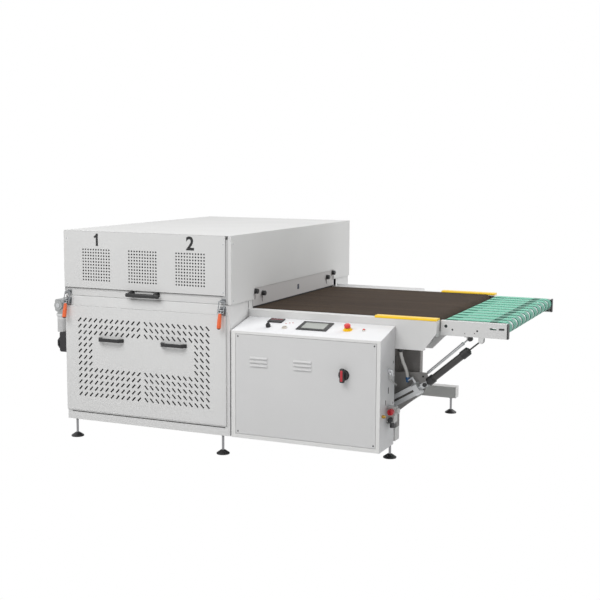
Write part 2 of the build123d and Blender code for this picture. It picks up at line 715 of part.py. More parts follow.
def edge_guards():
    """Yellow covers on the last stretch of each rail, rounded at the infeed end."""
    profile = [
        (RAIL_OUTER - GUARD_LAP, RAIL_TOP),
        (RAIL_INNER, RAIL_TOP),
        (RAIL_INNER, RAIL_TOP + GUARD_HEIGHT - 6),
        (RAIL_INNER - 7, RAIL_TOP + GUARD_HEIGHT),
        (RAIL_OUTER + 6, RAIL_TOP + GUARD_HEIGHT),
        (RAIL_OUTER - GUARD_LAP, RAIL_TOP + GUARD_HEIGHT - 7),
    ]
    guard = prism_x(profile, GUARD_LEFT, RAIL_RIGHT)
    corners = guard.edges().filter_by(Axis.Z).sort_by(Axis.X)[:2]
    guard = chamfer(corners, 5)
    return group(guard, mirrored(guard))


def outfeed_stand():
    """Welded tube stand that carries the conveyor beyond the base."""
    bars = []
    half = BEAM_WIDTH / 2
    for y in (NEAR_BEAM_Y, FAR_BEAM_Y):
        bars.append(block(BASE_RIGHT, BEAM_END, y - half, y + half, BEAM_BOTTOM, BEAM_TOP))
    inside = (NEAR_BEAM_Y + half, FAR_BEAM_Y - half)
    bars.append(block(CROSS_X, CROSS_X + POST, *inside, BEAM_BOTTOM + 4, BEAM_TOP - 4))
    cross_bottom = RAIL_BOTTOM - POST
    for x in (CROSS_X, BEAM_END - POST):
        bars.append(block(x, x + POST, RAIL_OUTER, DEPTH - RAIL_OUTER, cross_bottom, RAIL_BOTTOM))
    bars.append(block(BEAM_END - POST, BEAM_END, POST_Y, POST_Y + POST, BEAM_TOP, cross_bottom))
    bars.append(block(CROSS_X, CROSS_X + POST, POST_Y, POST_Y + POST, BEAM_TOP, cross_bottom))
    far = DEPTH - RAIL_OUTER - 4
    bars.append(block(CROSS_X, CROSS_X + POST, far - POST, far, BEAM_TOP, cross_bottom))
    foot, head = POST_Y + POST, BEAM_TOP + 418
    brace = [(foot, head - BRACE_WIDTH), (foot, head), (foot + BRACE_RUN, BEAM_TOP)]
    brace.append((foot + BRACE_RUN - BRACE_WIDTH, BEAM_TOP))
    bars.append(prism_x(brace, CROSS_X + 10, CROSS_X + 50))
    return group(*bars)


def unit(angle):
    """Direction in the XZ plane at an angle above +X."""
    return math.cos(math.radians(angle)), math.sin(math.radians(angle))


def along(point, angle, forward, up=0.0):
    """A point moved forward along a slope and up across it."""
    c, s = unit(angle)
    return point[0] + forward * c - up * s, point[1] + forward * s + up * c


def table_brackets():
    """Fixed plates: the arm that holds the lift cylinder, and two plates that hold the table shaft."""
    pin = (LIFT_PIN_X, LIFT_PIN_Z)
    arm = [
        (BEAM_END - POST, ARM_FOOT_Z),
        (BEAM_END, ARM_FOOT_Z),
        along(pin, LIFT_SLOPE, -CAP_GAP, -BARREL_SIDE / 2),
        (STAY_X + 34, STAY_Z - 20),
        (STAY_X + 24, STAY_Z + 24),
        (STAY_X - 24, STAY_Z + 24),
        (BEAM_END - POST, STAY_Z + 10),
    ]
    front = POST_Y - ARM_THICKNESS
    plate = prism_y(arm, front, POST_Y)
    plate -= rod_y(STAY_X, STAY_Z, front - 1, POST_Y + 1, LIFT_PIN_RADIUS + RUNNING_CLEARANCE)
    outline = [
        (HINGE_TIE_RIGHT, RAIL_BOTTOM),
        (HINGE_TIE_RIGHT + 40, RAIL_BOTTOM),
        (TABLE_HINGE_X + 26, TABLE_Z - 26),
        (TABLE_HINGE_X + 26, TABLE_Z + 16),
        (TABLE_HINGE_X + 12, TABLE_Z + 26),
        (TABLE_HINGE_X - 12, TABLE_Z + 26),
        (TABLE_HINGE_X - 36, TABLE_Z - 10),
        (HINGE_TIE_RIGHT + 78, RAIL_BOTTOM + 72),
        (HINGE_TIE_RIGHT, RAIL_BOTTOM + 72),
    ]
    ear = prism_y(outline, HINGE_PLATE_Y, HINGE_PLATE_Y + HINGE_PLATE)
    bore = TABLE_SHAFT_RADIUS + RUNNING_CLEARANCE
    ear -= rod_y(TABLE_HINGE_X, TABLE_Z, HINGE_PLATE_Y - 1, HINGE_PLATE_Y + HINGE_PLATE + 1, bore)
    across = (RAIL_OUTER + SHEET, DEPTH - RAIL_OUTER - SHEET)
    tie_top = HINGE_TIE_BOTTOM + HINGE_TIE_HEIGHT
    tie = block(HINGE_TIE_LEFT, HINGE_TIE_RIGHT, *across, HINGE_TIE_BOTTOM, tie_top)
    return group(plate, ear, tie, mirrored(ear))


def lift_cylinder():
    """A profile-barrel air cylinder with a square cap at each end, bored for its rod."""
    c, s = unit(LIFT_SLOPE)
    frame = Plane(origin=(LIFT_PIN_X, LIFT_Y, LIFT_PIN_Z), x_dir=(0, 1, 0), z_dir=(c, 0, s))
    half = BARREL_SIDE / 2
    cap = chamfer(Rectangle(BARREL_SIDE, BARREL_SIDE).vertices(), 10)
    barrel = Rectangle(BARREL_SIDE - BARREL_STEP, BARREL_SIDE - BARREL_STEP)
    for side in (-1, 1):
        barrel -= Pos(side * (half - 4), 0) * Rectangle(10, 14)
        barrel -= Pos(0, side * (half - 4)) * Rectangle(14, 10)
    front = -CAP_GAP - CAP_LENGTH
    back = front - BARREL_LENGTH
    body = Pos(0, 0, front) * extrude(cap, amount=CAP_LENGTH)
    body += Pos(0, 0, back) * extrude(barrel, amount=BARREL_LENGTH)
    body += Pos(0, 0, back - CAP_LENGTH) * extrude(cap, amount=CAP_LENGTH)
    body -= Pos(0, 0, back + 10) * standing(PISTON_RADIUS + RUNNING_CLEARANCE, BARREL_LENGTH + CAP_LENGTH)
    return frame * body


def piston_rod():
    """The cylinder's rod and the fork that carries the strut's lower pin."""
    c, s = unit(LIFT_SLOPE)
    shaft_length = CAP_LENGTH + BARREL_LENGTH - 16
    start = along((LIFT_PIN_X, LIFT_PIN_Z), LIFT_SLOPE, 14 - CAP_GAP - shaft_length)
    shaft = rod((start[0], LIFT_Y, start[1]), (c, 0, s), shaft_length, PISTON_RADIUS)
    frame = Plane(origin=(LIFT_PIN_X, LIFT_Y, LIFT_PIN_Z), x_dir=(0, 1, 0), z_dir=(c, 0, s))
    base_up = (Align.CENTER, Align.CENTER, Align.MIN)
    fork = frame.offset(-28) * Box(FORK_WIDTH, 32, 44, align=base_up)
    fork -= frame.offset(-14) * Box(2 * EYE_HALF + 2, 40, 40, align=base_up)
    pin = rod_y(LIFT_PIN_X, LIFT_PIN_Z, LIFT_Y - FORK_WIDTH / 2, LIFT_Y + FORK_WIDTH / 2, LIFT_PIN_RADIUS)
    return shaft + fork + pin


def lift_strut():
    """The black gas strut between the fork and the table: an eye, a tube, a thin rod and an eye."""
    dx, dz = STRUT_TOP_X - LIFT_PIN_X, STRUT_TOP_Z - LIFT_PIN_Z
    frame = Plane(origin=(LIFT_PIN_X, LIFT_Y, LIFT_PIN_Z), z_dir=(dx, 0, dz))
    low, high = LIFT_Y - EYE_HALF, LIFT_Y + EYE_HALF
    eye = LIFT_PIN_RADIUS + EYE_WALL
    tube_end = math.hypot(dx, dz) - STRUT_ROD_SHOWN
    half = [(0, 20), (EYE_HALF, 20), (STRUT_RADIUS, 40), (STRUT_RADIUS, tube_end), (0, tube_end)]
    tube = revolve(make_face(Polyline(*[(r, 0, z) for r, z in half], close=True)), Axis.Z)
    base_up = (Align.CENTER, Align.CENTER, Align.MIN)
    strut = frame * tube
    strut += frame.offset(tube_end) * standing(STRUT_ROD_RADIUS, STRUT_ROD_SHOWN - eye)
    strut += rod_y(LIFT_PIN_X, LIFT_PIN_Z, low, high, eye)
    strut += frame.offset(8) * Box(12, 12, 14, align=base_up)
    strut += rod_y(STRUT_TOP_X, STRUT_TOP_Z, low, high, eye + STRUT_EYE_PLAY)
    strut -= rod_y(LIFT_PIN_X, LIFT_PIN_Z, low - 1, high + 1, LIFT_PIN_RADIUS + RUNNING_CLEARANCE)
    return strut - rod_y(STRUT_TOP_X, STRUT_TOP_Z, low - 1, high + 1, LIFT_PIN_RADIUS + STRUT_EYE_PLAY)


def stay_guide():
    """The swivelling block that the stay rod slides through, with its pin in the arm."""
    slope = (STAY_TOP_X - STAY_X, 0, STAY_TOP_Z - STAY_Z)
    frame = Plane(origin=(STAY_X, STAY_Y, STAY_Z), x_dir=(0, 1, 0), z_dir=slope)
    guide = frame * Box(24, 26, 30)
    guide += rod_y(STAY_X, STAY_Z, POST_Y - ARM_THICKNESS - 3, STAY_Y - 12, LIFT_PIN_RADIUS)
    return guide - frame * Cylinder(STAY_RADIUS + RUNNING_CLEARANCE, 60)


def stay_rod():
    """The slim rod that steadies the table, with an eye at the table end."""
    dx, dz = STAY_TOP_X - STAY_X, STAY_TOP_Z - STAY_Z
    frame = Plane(origin=(STAY_X, STAY_Y, STAY_Z), z_dir=(dx, 0, dz))
    bore = LIFT_PIN_RADIUS + STAY_EYE_PLAY
    shown = math.hypot(dx, dz) - bore - STAY_EYE_WALL / 2
    bar = frame.offset(-STAY_TAIL) * standing(STAY_RADIUS, STAY_TAIL + shown)
    bar += rod_y(STAY_TOP_X, STAY_TOP_Z, STAY_Y - 6, STAY_Y + 6, bore + STAY_EYE_WALL)
    return bar - rod_y(STAY_TOP_X, STAY_TOP_Z, STAY_Y - 7, STAY_Y + 7, bore)


def table_rails():
    """Side channels of the table, bored for the shaft they swing on, with the lift brackets."""
    wall = TABLE_RAIL_WALL
    web = TABLE_RAIL_OUTER + wall
    flange = TABLE_RAIL_OUTER + TABLE_RAIL_FLANGE
    profile = [
        (TABLE_RAIL_OUTER, TABLE_RAIL_BOTTOM),
        (flange, TABLE_RAIL_BOTTOM),
        (flange, TABLE_RAIL_BOTTOM + wall),
        (web, TABLE_RAIL_BOTTOM + wall),
        (web, TABLE_RAIL_TOP - wall),
        (flange, TABLE_RAIL_TOP - wall),
        (flange, TABLE_RAIL_TOP),
        (TABLE_RAIL_OUTER, TABLE_RAIL_TOP),
    ]
    rail = prism_x(profile, TABLE_RAIL_LEFT, TABLE_RAIL_RIGHT)
    for x in (TABLE_HINGE_X, END_ROLLER_X):
        rail += rod_y(x, TABLE_Z, web, flange - 4, TABLE_BOSS_RADIUS)
        rail -= rod_y(x, TABLE_Z, TABLE_RAIL_OUTER - 1, flange, TABLE_SHAFT_RADIUS + RUNNING_CLEARANCE)
    slot = END_ROLLER_X - TENSION_SLOT_OFFSET
    half, high = TENSION_SLOT / 2, TENSION_SLOT_HEIGHT / 2
    rail -= block(slot - half, slot + half, TABLE_RAIL_OUTER - 1, web + 1, TABLE_Z - high, TABLE_Z + high)
    inner, outer = EYE_HALF + LUG_GAP, EYE_HALF + LUG_GAP + LUG_THICKNESS
    lugs = lift_lug(STRUT_TOP_X, STRUT_TOP_Z, LIFT_Y - outer, LIFT_Y - inner)
    lugs += lift_lug(STRUT_TOP_X, STRUT_TOP_Z, LIFT_Y + inner, LIFT_Y + outer)
    lugs += rod_y(STRUT_TOP_X, STRUT_TOP_Z, LIFT_Y - outer, LIFT_Y + outer, LIFT_PIN_RADIUS)
    near = STAY_Y - 8
    stay = block(STAY_TOP_X - 20, STAY_TOP_X + 20, LIFT_Y, near, TABLE_RAIL_BOTTOM - 6, TABLE_RAIL_BOTTOM)
    stay += lift_lug(STAY_TOP_X, STAY_TOP_Z, near - LUG_THICKNESS, near)
    stay += rod_y(STAY_TOP_X, STAY_TOP_Z, near - LUG_THICKNESS, STAY_Y + 9, LIFT_PIN_RADIUS)
    return group(rail, lugs, stay, mirrored(rail))


def lift_lug(x, z, y0, y1):
    """A rounded ear hanging from the rail around a lift pin."""
    ear = rod_y(x, z, y0, y1, LUG_RADIUS)
    return ear + block(x - LUG_RADIUS, x + LUG_RADIUS, y0, y1, z, TABLE_RAIL_BOTTOM)


def table_end_caps():
    """Black moulded caps on the ends of the table rails."""
    ends = (TABLE_RAIL_RIGHT, TABLE_RAIL_RIGHT + END_CAP)
    sides = (TABLE_RAIL_OUTER - 1, TABLE_RAIL_OUTER + TABLE_RAIL_FLANGE + 1)
    cap = block(*ends, *sides, TABLE_RAIL_BOTTOM - 1, TABLE_RAIL_TOP + 1)
    cap = fillet(cap.edges().filter_by(Axis.X), 4)
    return group(cap, mirrored(cap))


def table_bed():
    """The plate under the flat belts and the two tubes that tie the table rails together."""
    top = BELT_TOP - FLAT_BELT_THICKNESS - 1
    under = top - BED_SHEET
    y0 = TABLE_RAIL_OUTER + TABLE_RAIL_WALL
    y1 = DEPTH - y0
    margin = TABLE_ROLLER_RADIUS + BED_MARGIN
    bed = block(TABLE_HINGE_X + margin, END_ROLLER_X - margin, y0 + 40, y1 - 40, under, top)
    low = TABLE_RAIL_BOTTOM + 40
    for offset in TABLE_TIES:
        x = TABLE_HINGE_X + offset
        bed += block(x, x + TABLE_TIE, y0, y1, low, low + TABLE_TIE)
        bed += block(x + 14, x + 22, y0 + 40, y1 - 40, low + TABLE_TIE, under)
    return bed


def transfer_belts():
    """Flat belts side by side round the table's two rollers."""
    span = END_ROLLER_X - TABLE_HINGE_X
    inner = TABLE_ROLLER_RADIUS + BELT_GAP
    outer = inner + FLAT_BELT_THICKNESS
    loop = SlotCenterToCenter(span, 2 * outer) - SlotCenterToCenter(span, 2 * inner)
    middle = (TABLE_HINGE_X + END_ROLLER_X) / 2
    belts = []
    for index in range(FLAT_BELTS):
        y = BELT_MID + (index - (FLAT_BELTS - 1) / 2) * FLAT_BELT_PITCH + FLAT_BELT_WIDTH / 2
        plane = Plane(origin=(middle, y, TABLE_Z), x_dir=(1, 0, 0), z_dir=(0, -1, 0))
        belts.append(extrude(plane * loop, amount=FLAT_BELT_WIDTH))
    return group(*belts)


def table_roller(x):
    """A plain roller on a through shaft whose ends run in the table rails."""
    body = rod_y(x, TABLE_Z, TABLE_ROLLER_END, DEPTH - TABLE_ROLLER_END, TABLE_ROLLER_RADIUS)
    return body + rod_y(x, TABLE_Z, TABLE_RAIL_OUTER + 1, DEPTH - TABLE_RAIL_OUTER - 1, TABLE_SHAFT_RADIUS)


def hood_shell():
    """The folded hood: roof, back, end walls, corner post, front rail, brackets and hinge leaves."""
    left, under = -HOOD_LENGTH, HOOD_TOP - SHEET
    far = DEPTH - CUTOUT_MARGIN
    panels = [block(left, 0, 0, DEPTH, under, HOOD_TOP)]
    panels.append(block(left, 0, DEPTH - SHEET, DEPTH, SPLIT, under))
    for wall in ((left, left + SHEET, SHEET + SEAT_GAP), (-SHEET, 0, 0)):
        panels.append(block(*wall, CUTOUT_MARGIN, SPLIT, under))
        panels.append(block(*wall[:2], far, DEPTH - SHEET, SPLIT, under))
        panels.append(block(*wall[:2], CUTOUT_MARGIN, far, CUTOUT_TOP, under))
    gap = -CORNER_POST - CORNER_GAP
    deep = CORNER_GAP_DEPTH + SHEET
    post = block(-CORNER_POST, -SHEET, 0, SHEET, SPLIT, under)
    post += block(-CORNER_POST, -CORNER_POST + SHEET, 0, deep, SPLIT, under)
    panels.append(post)
    panels.append(block(gap - SHEET, -CORNER_POST, CORNER_GAP_DEPTH, deep, SPLIT, under))
    rail = [
        (RAIL_SETBACK, SPLIT),
        (RAIL_SETBACK + RAIL_RETURN, SPLIT),
        (RAIL_SETBACK + RAIL_RETURN, SPLIT + SHEET),
        (RAIL_SETBACK + SHEET, SPLIT + SHEET),
        (RAIL_SETBACK + SHEET, COVER_BOTTOM),
        (RAIL_SETBACK, COVER_BOTTOM),
    ]
    panels.append(prism_x(rail, left + SHEET, gap - SHEET))
    panels.append(block(gap - SHEET, gap, RAIL_SETBACK, CORNER_GAP_DEPTH, SPLIT, COVER_BOTTOM))
    lap = (RAIL_SETBACK, RAIL_SETBACK + SHEET)
    panels.append(block(left + SHEET, gap - SHEET - 1, *lap, COVER_BOTTOM, COVER_BOTTOM + COVER_LAP))
    apron = (left + SHEET, left + 2 * SHEET)
    panels.append(block(*apron, CUTOUT_MARGIN - SHIELD_LAP, far + SHIELD_LAP, SHIELD_BOTTOM, SHIELD_TOP))
    low = INNER_KNOB_Z - 14
    bar = block(-16, -8, CUTOUT_MARGIN - 24, INNER_KNOB_Y + 25, low, CUTOUT_TOP)
    bar += block(-8, -SHEET, CUTOUT_MARGIN - 24, CUTOUT_MARGIN - 14, low, CUTOUT_TOP)
    for y, z in knob_places():
        bar -= rod_x(y, z, -20, -7, KNOB_STUD_RADIUS + RUNNING_CLEARANCE)
    panels += [bar, mirrored(bar)]
    for x in (left + HINGE_INSET, -HINGE_INSET):
        panels.append(hood_hinge_leaf(x))
    return group(*panels)


def hood_hinge_leaf(x):
    """The hood's half of a hinge: a plate on the back wall and the middle knuckle."""
    axis_y = DEPTH + HINGE_STANDOFF
    x0, x1 = x - HINGE_KNUCKLE / 2, x + HINGE_KNUCKLE / 2
    knuckle = rod_x(axis_y, SPLIT, x0, x1, HINGE_KNUCKLE_RADIUS)
    knuckle += block(x0, x1, DEPTH, axis_y, SPLIT + 4, SPLIT + HINGE_KNUCKLE_RADIUS)
    knuckle += block(x0, x1, DEPTH, DEPTH + HINGE_PLATE_THICKNESS, SPLIT + 4, SPLIT + 70)
    return knuckle - rod_x(axis_y, SPLIT, x0 - 1, x1 + 1, HINGE_PIN_RADIUS + RUNNING_CLEARANCE)


def knob_places():
    near = [(OUTER_KNOB_Y, OUTER_KNOB_Z), (INNER_KNOB_Y, INNER_KNOB_Z)]
    return near + [(DEPTH - y, z) for y, z in reversed(near)]


def hood_front_cover():
    """The front cover sheet with folded edges; its ventilation field is punched."""
    right = -CORNER_POST - CORNER_GAP
    top = HOOD_TOP - SHEET - COVER_TOP_GAP
    cover = block(-HOOD_LENGTH, right, 0, SHEET, COVER_BOTTOM, top)
    cover += block(-HOOD_LENGTH + 2 * SHEET, right, SHEET, RAIL_SETBACK, COVER_BOTTOM, COVER_BOTTOM + SHEET)
    return cover + block(right - SHEET, right, SHEET, CORNER_GAP_DEPTH, COVER_BOTTOM, top)


def hood_handle():
    return bridge_handle(*HOOD_HANDLE, RAIL_SETBACK, HOOD_HANDLE_Z)


def latch_keepers():
    """A plate with an upturned lip on the hood rail, above each latch."""
    back = RAIL_SETBACK - KEEPER_SHEET
    profile = [
        (RAIL_SETBACK, KEEPER_PLATE[0]),
        (RAIL_SETBACK, KEEPER_PLATE[1]),
        (back, KEEPER_PLATE[1]),
        (back, KEEPER_SHELF_Z + KEEPER_SHEET + 1),
        (KEEPER_LIP_Y + KEEPER_SHEET, KEEPER_SHELF_Z + KEEPER_SHEET + 1),
        (KEEPER_LIP_Y + KEEPER_SHEET, KEEPER_SHELF_Z + KEEPER_LIP),
        (KEEPER_LIP_Y, KEEPER_SHELF_Z + KEEPER_LIP),
        (KEEPER_LIP_Y, KEEPER_SHELF_Z),
        (back, KEEPER_SHELF_Z),
        (back, KEEPER_PLATE[0]),
    ]
    return group(*[prism_x(profile, x - KEEPER_HALF, x + KEEPER_HALF) for x in LATCH_X])


def trough_outline(inset):
    """The reflector's section from one mouth edge over the lamp to the other, drawn in by an inset."""
    half, top = REFLECTOR_HALF - inset, REFLECTOR_TOP - inset
    side = [(half, REFLECTOR_MOUTH), (half, top - 78), (half - 35, top - 23), (20, top)]
    return [(-dx, z) for dx, z in side] + side[::-1]


def lamp_reflectors():
    """A trough reflector over each lamp with lamp holders at both ends, hung from the hood roof."""
    pieces = []
    half = LAMP_LENGTH / 2 + REFLECTOR_OVERHANG
    start = BELT_MID - half
    holder = BELT_MID - LAMP_LENGTH / 2 - LAMP_BASE_LENGTH + HOLDER_INSET
    inner = holder + HOLDER_THICKNESS
    for x in LAMP_STATIONS:
        outer = [(x + dx, z) for dx, z in trough_outline(0)]
        hollow = [(x + dx, z) for dx, z in trough_outline(SHEET)]
        trough = prism_y(outer + hollow[::-1], start, BELT_MID + half)
        end = prism_y(outer, start - SHEET, start)
        end += block(x - HOLDER_HALF, x + HOLDER_HALF, holder, start - SHEET, HOLDER_TOP, HOLDER_TOP + 6)
        end += block(x - HOLDER_HALF, x + HOLDER_HALF, holder, inner, LAMP_HEIGHT - HOLDER_HALF, HOLDER_TOP)
        end -= rod_y(x, LAMP_HEIGHT, inner + 1, start + 1, LAMP_RADIUS + 1)
        end -= rod_y(x, LAMP_HEIGHT, holder - 1, inner + 1, LAMP_BASE_RADIUS + SEAT_GAP)
        pieces += [trough, end, mirrored(end)]
        side = HANGER_WIDTH / 2
        for y in (BELT_MID - HANGER_REACH, BELT_MID + HANGER_REACH):
            pieces.append(block(x - side, x + side, y - side, y + side, REFLECTOR_TOP, HOOD_TOP - SHEET))
    return group(*pieces)


def uv_lamps():
    """Two tubular lamps with a ceramic base at each end."""
    lamps = []
    half = LAMP_LENGTH / 2
    reach = half + LAMP_BASE_LENGTH
    for x in LAMP_STATIONS:
        lamp = rod_y(x, LAMP_HEIGHT, BELT_MID - half, BELT_MID + half, LAMP_RADIUS)
        lamps.append(lamp + rod_y(x, LAMP_HEIGHT, BELT_MID - reach, BELT_MID + reach, LAMP_BASE_RADIUS))
    return group(*lamps)


def fan_housings():
    """A square frame with a round duct behind each lamp's ventilation field."""
    frames = []
    side = FAN_RADIUS + FAN_MARGIN
    back = FAN_FRONT + FAN_DEPTH
    spider = back - 10
    for x in LAMP_STATIONS:
        frame = block(x - side, x + side, FAN_FRONT, back, FAN_HEIGHT - side, FAN_HEIGHT + side)
        frame -= rod_y(x, FAN_HEIGHT, FAN_FRONT - 1, back + 1, FAN_RADIUS + FAN_TIP_GAP)
        frame += block(x - 5, x + 5, spider, back, FAN_HEIGHT - side, FAN_HEIGHT + side)
        frame += rod_y(x, FAN_HEIGHT, spider, back, FAN_HUB + 2)
        frame += block(x - side, x + side, FAN_FRONT, back, FAN_HEIGHT + side, HOOD_TOP - SHEET)
        frames.append(frame)
    return group(*frames)


def fan_rotor(x):
    """A hub with pitched blades."""
    rotor = rod_y(x, FAN_HEIGHT, FAN_FRONT + 4, FAN_FRONT + 32, FAN_HUB)
    blade = Pos(FAN_HUB + BLADE_LENGTH / 2 - 2, 0, 0) * Rot(34, 0, 0) * Box(BLADE_LENGTH, 3, 38)
    for index in range(FAN_BLADES):
        spin = Rot(0, index * 360 / FAN_BLADES, 0)
        rotor += Pos(x, FAN_FRONT + 18, FAN_HEIGHT) * spin * blade
    return rotor


def exit_shield():
    """The height-adjustable shield behind the exit cut-out, slotted for its four clamp studs."""
    x1 = -SHEET - SHIELD_GAP
    x0 = x1 - SHEET
    reach = (CUTOUT_MARGIN - SHIELD_LAP, DEPTH - CUTOUT_MARGIN + SHIELD_LAP)
    shield = block(x0, x1, *reach, SHIELD_BOTTOM, SHIELD_TOP)
    width = KNOB_STUD_RADIUS + 0.5
    for y, z in knob_places():
        shield -= block(x0 - 1, x1 + 1, y - width, y + width, z - SHIELD_TRAVEL - width, z + width)
    return shield


def exit_knob(y, z):
    """A ten-sided clamp knob on its stud."""
    x0 = -SHEET - 0.2
    grip = Plane(origin=(x0, y, z), x_dir=(0, 1, 0), z_dir=(1, 0, 0)) * RegularPolygon(KNOB_RADIUS, 10)
    head = extrude(grip, amount=KNOB_LENGTH)
    head = chamfer(head.faces().sort_by(Axis.X)[-1].edges(), 3)
    return head + rod_x(y, z, KNOB_STUD_END, x0, KNOB_STUD_RADIUS)


def latch_brackets():
    """A plate on the base's band and two ears that hold each latch lever's pin."""
    brackets = []
    face = BRACKET_FACE_Y
    plate = [(band_face(BRACKET_BOTTOM), BRACKET_BOTTOM), (band_face(BRACKET_TOP), BRACKET_TOP)]
    plate += [(face, BRACKET_TOP), (face, BRACKET_BOTTOM)]
    for x in LATCH_X:
        bracket = prism_x(plate, x - BRACKET_HALF, x + BRACKET_HALF)
        for side in (-1, 1):
            ear = sorted((x + side * (LEVER_HALF + 1), x + side * (LEVER_HALF + 4)))
            bracket += block(*ear, LATCH_PIVOT_Y, face, LATCH_PIVOT_Z - 9, LATCH_PIVOT_Z + 9)
            bracket += rod_x(LATCH_PIVOT_Y, LATCH_PIVOT_Z, *ear, 9)
        pin = (x - LEVER_HALF - 4, x + LEVER_HALF + 4)
        brackets.append(bracket + rod_x(LATCH_PIVOT_Y, LATCH_PIVOT_Z, *pin, LATCH_PIN_RADIUS))
    return group(*brackets)


def latch_lever(x):
    """The over-centre lever with its moulded grip."""
    x0, x1 = x - LEVER_HALF, x + LEVER_HALF
    lever = rod_x(LATCH_PIVOT_Y, LATCH_PIVOT_Z, x0, x1, 2 * LATCH_PIN_RADIUS)
    lever += rod_x(LATCH_HOOK_Y, LATCH_HOOK_Z, x0, x1, WIRE_RADIUS + 4)
    web = [
        (LATCH_PIVOT_Y - 8, LATCH_PIVOT_Z + 2),
        (LATCH_HOOK_Y - 7, LATCH_HOOK_Z + 2),
        (LATCH_HOOK_Y - 8, LATCH_HOOK_Z - 14),
        (LATCH_HOOK_Y + 7, LATCH_HOOK_Z - 10),
        (LATCH_PIVOT_Y + 3, LATCH_PIVOT_Z - 8),
    ]
    lever += prism_x(web, x0, x1)
    top, low = LATCH_HOOK_Z - 4, GRIP_BOTTOM
    grip = [
        (LATCH_HOOK_Y - 8, top),
        (LATCH_HOOK_Y - 26, top - 50),
        (LATCH_HOOK_Y - 36, low + 6),
        (LATCH_HOOK_Y - 32, low),
        (LATCH_HOOK_Y - 18, low),
        (LATCH_HOOK_Y - 10, top - 52),
        (LATCH_HOOK_Y + 5, top - 4),
    ]
    lever += prism_x(grip, x - GRIP_WIDTH / 2, x + GRIP_WIDTH / 2)
    lever -= rod_x(LATCH_PIVOT_Y, LATCH_PIVOT_Z, x0 - 1, x1 + 1, LATCH_PIN_RADIUS + RUNNING_CLEARANCE)
    reach = GRIP_WIDTH / 2 + 1
    return lever - rod_x(LATCH_HOOK_Y, LATCH_HOOK_Z, x - reach, x + reach, WIRE_RADIUS + RUNNING_CLEARANCE)


def latch_hook(x):
    """The bent wire loop: a pin through the lever, two legs and the cross bar."""
    left, right = x - HOOK_HALF, x + HOOK_HALF
    rise = (0, HOOK_BAR_Y - LATCH_HOOK_Y, HOOK_BAR_Z - LATCH_HOOK_Z)
    hook = rod_x(LATCH_HOOK_Y, LATCH_HOOK_Z, left, right, WIRE_RADIUS)
    hook += rod_x(HOOK_BAR_Y, HOOK_BAR_Z, left, right, WIRE_RADIUS)
    for side in (left, right):
        hook += rod((side, LATCH_HOOK_Y, LATCH_HOOK_Z), rise, math.hypot(*rise), WIRE_RADIUS)
        for y, z in ((LATCH_HOOK_Y, LATCH_HOOK_Z), (HOOK_BAR_Y, HOOK_BAR_Z)):
            hook += Pos(side, y, z) * Sphere(WIRE_RADIUS)
    return hook


def cabinet_shell():
    """The console: two end walls, floor, back, sloped top, front border and the brackets behind."""
    side = [(0, CAB_BOTTOM), (CAB_DEPTH, CAB_BOTTOM), (CAB_DEPTH, CAB_BACK_TOP), (0, CAB_FRONT_TOP)]
    panels = [prism_x(side, 0, SHEET), prism_x(side, CAB_LENGTH - SHEET, CAB_LENGTH)]
    x0, x1 = SHEET, CAB_LENGTH - SHEET
    drop = SHEET / math.cos(math.radians(PANEL_SLOPE))
    low = CAB_BOTTOM + SHEET
    front_edge = [(0, CAB_FRONT_TOP), (0, CAB_FRONT_TOP - drop)]
    lid = front_edge + [(CAB_DEPTH, CAB_BACK_TOP - drop), (CAB_DEPTH, CAB_BACK_TOP)]
    panels.append(prism_x(lid, x0, x1))
    panels.append(block(x0, x1, 0, CAB_DEPTH, CAB_BOTTOM, low))
    panels.append(block(x0, x1, CAB_DEPTH - SHEET, CAB_DEPTH, low, CAB_BACK_TOP - drop - 1))
    lintel = block(x0, x1, 0, SHEET, DOOR_TOP, CAB_FRONT_TOP - drop)
    sill = block(x0, x1, 0, SHEET, low, DOOR_BOTTOM)
    pin_x, pin_y = door_axis()
    ledge = (pin_x - 8, pin_x + 14, 0, 24)
    grip = DOOR_GAP + DOOR_PIN_GRIP
    lintel += block(*ledge, DOOR_TOP, DOOR_TOP + 4)
    lintel += rod_z(pin_x, pin_y, DOOR_TOP - grip, DOOR_TOP, DOOR_PIN_RADIUS)
    sill += block(*ledge, DOOR_BOTTOM - 4, DOOR_BOTTOM)
    sill += rod_z(pin_x, pin_y, DOOR_BOTTOM, DOOR_BOTTOM + grip, DOOR_PIN_RADIUS)
    panels += [lintel, sill]
    panels.append(block(x0, DOOR_LEFT, 0, SHEET, DOOR_BOTTOM, DOOR_TOP))
    panels.append(block(DOOR_RIGHT, x1, 0, SHEET, DOOR_BOTTOM, DOOR_TOP))
    for x in (60, CAB_LENGTH - 100):
        panels.append(block(x, x + 40, CAB_DEPTH, NEAR_BEAM_Y - BEAM_WIDTH / 2, BEAM_TOP - 40, BEAM_TOP - 34))
    for z in (CAB_BOTTOM + 40, CAB_BOTTOM + 560):
        panels.append(block(BASE_RIGHT, 0, 60, 100, z, z + 40))
    return group(*panels)


def door_axis():
    return DOOR_LEFT + DOOR_GAP + DOOR_PIN_INSET, DOOR_PIN_DEPTH


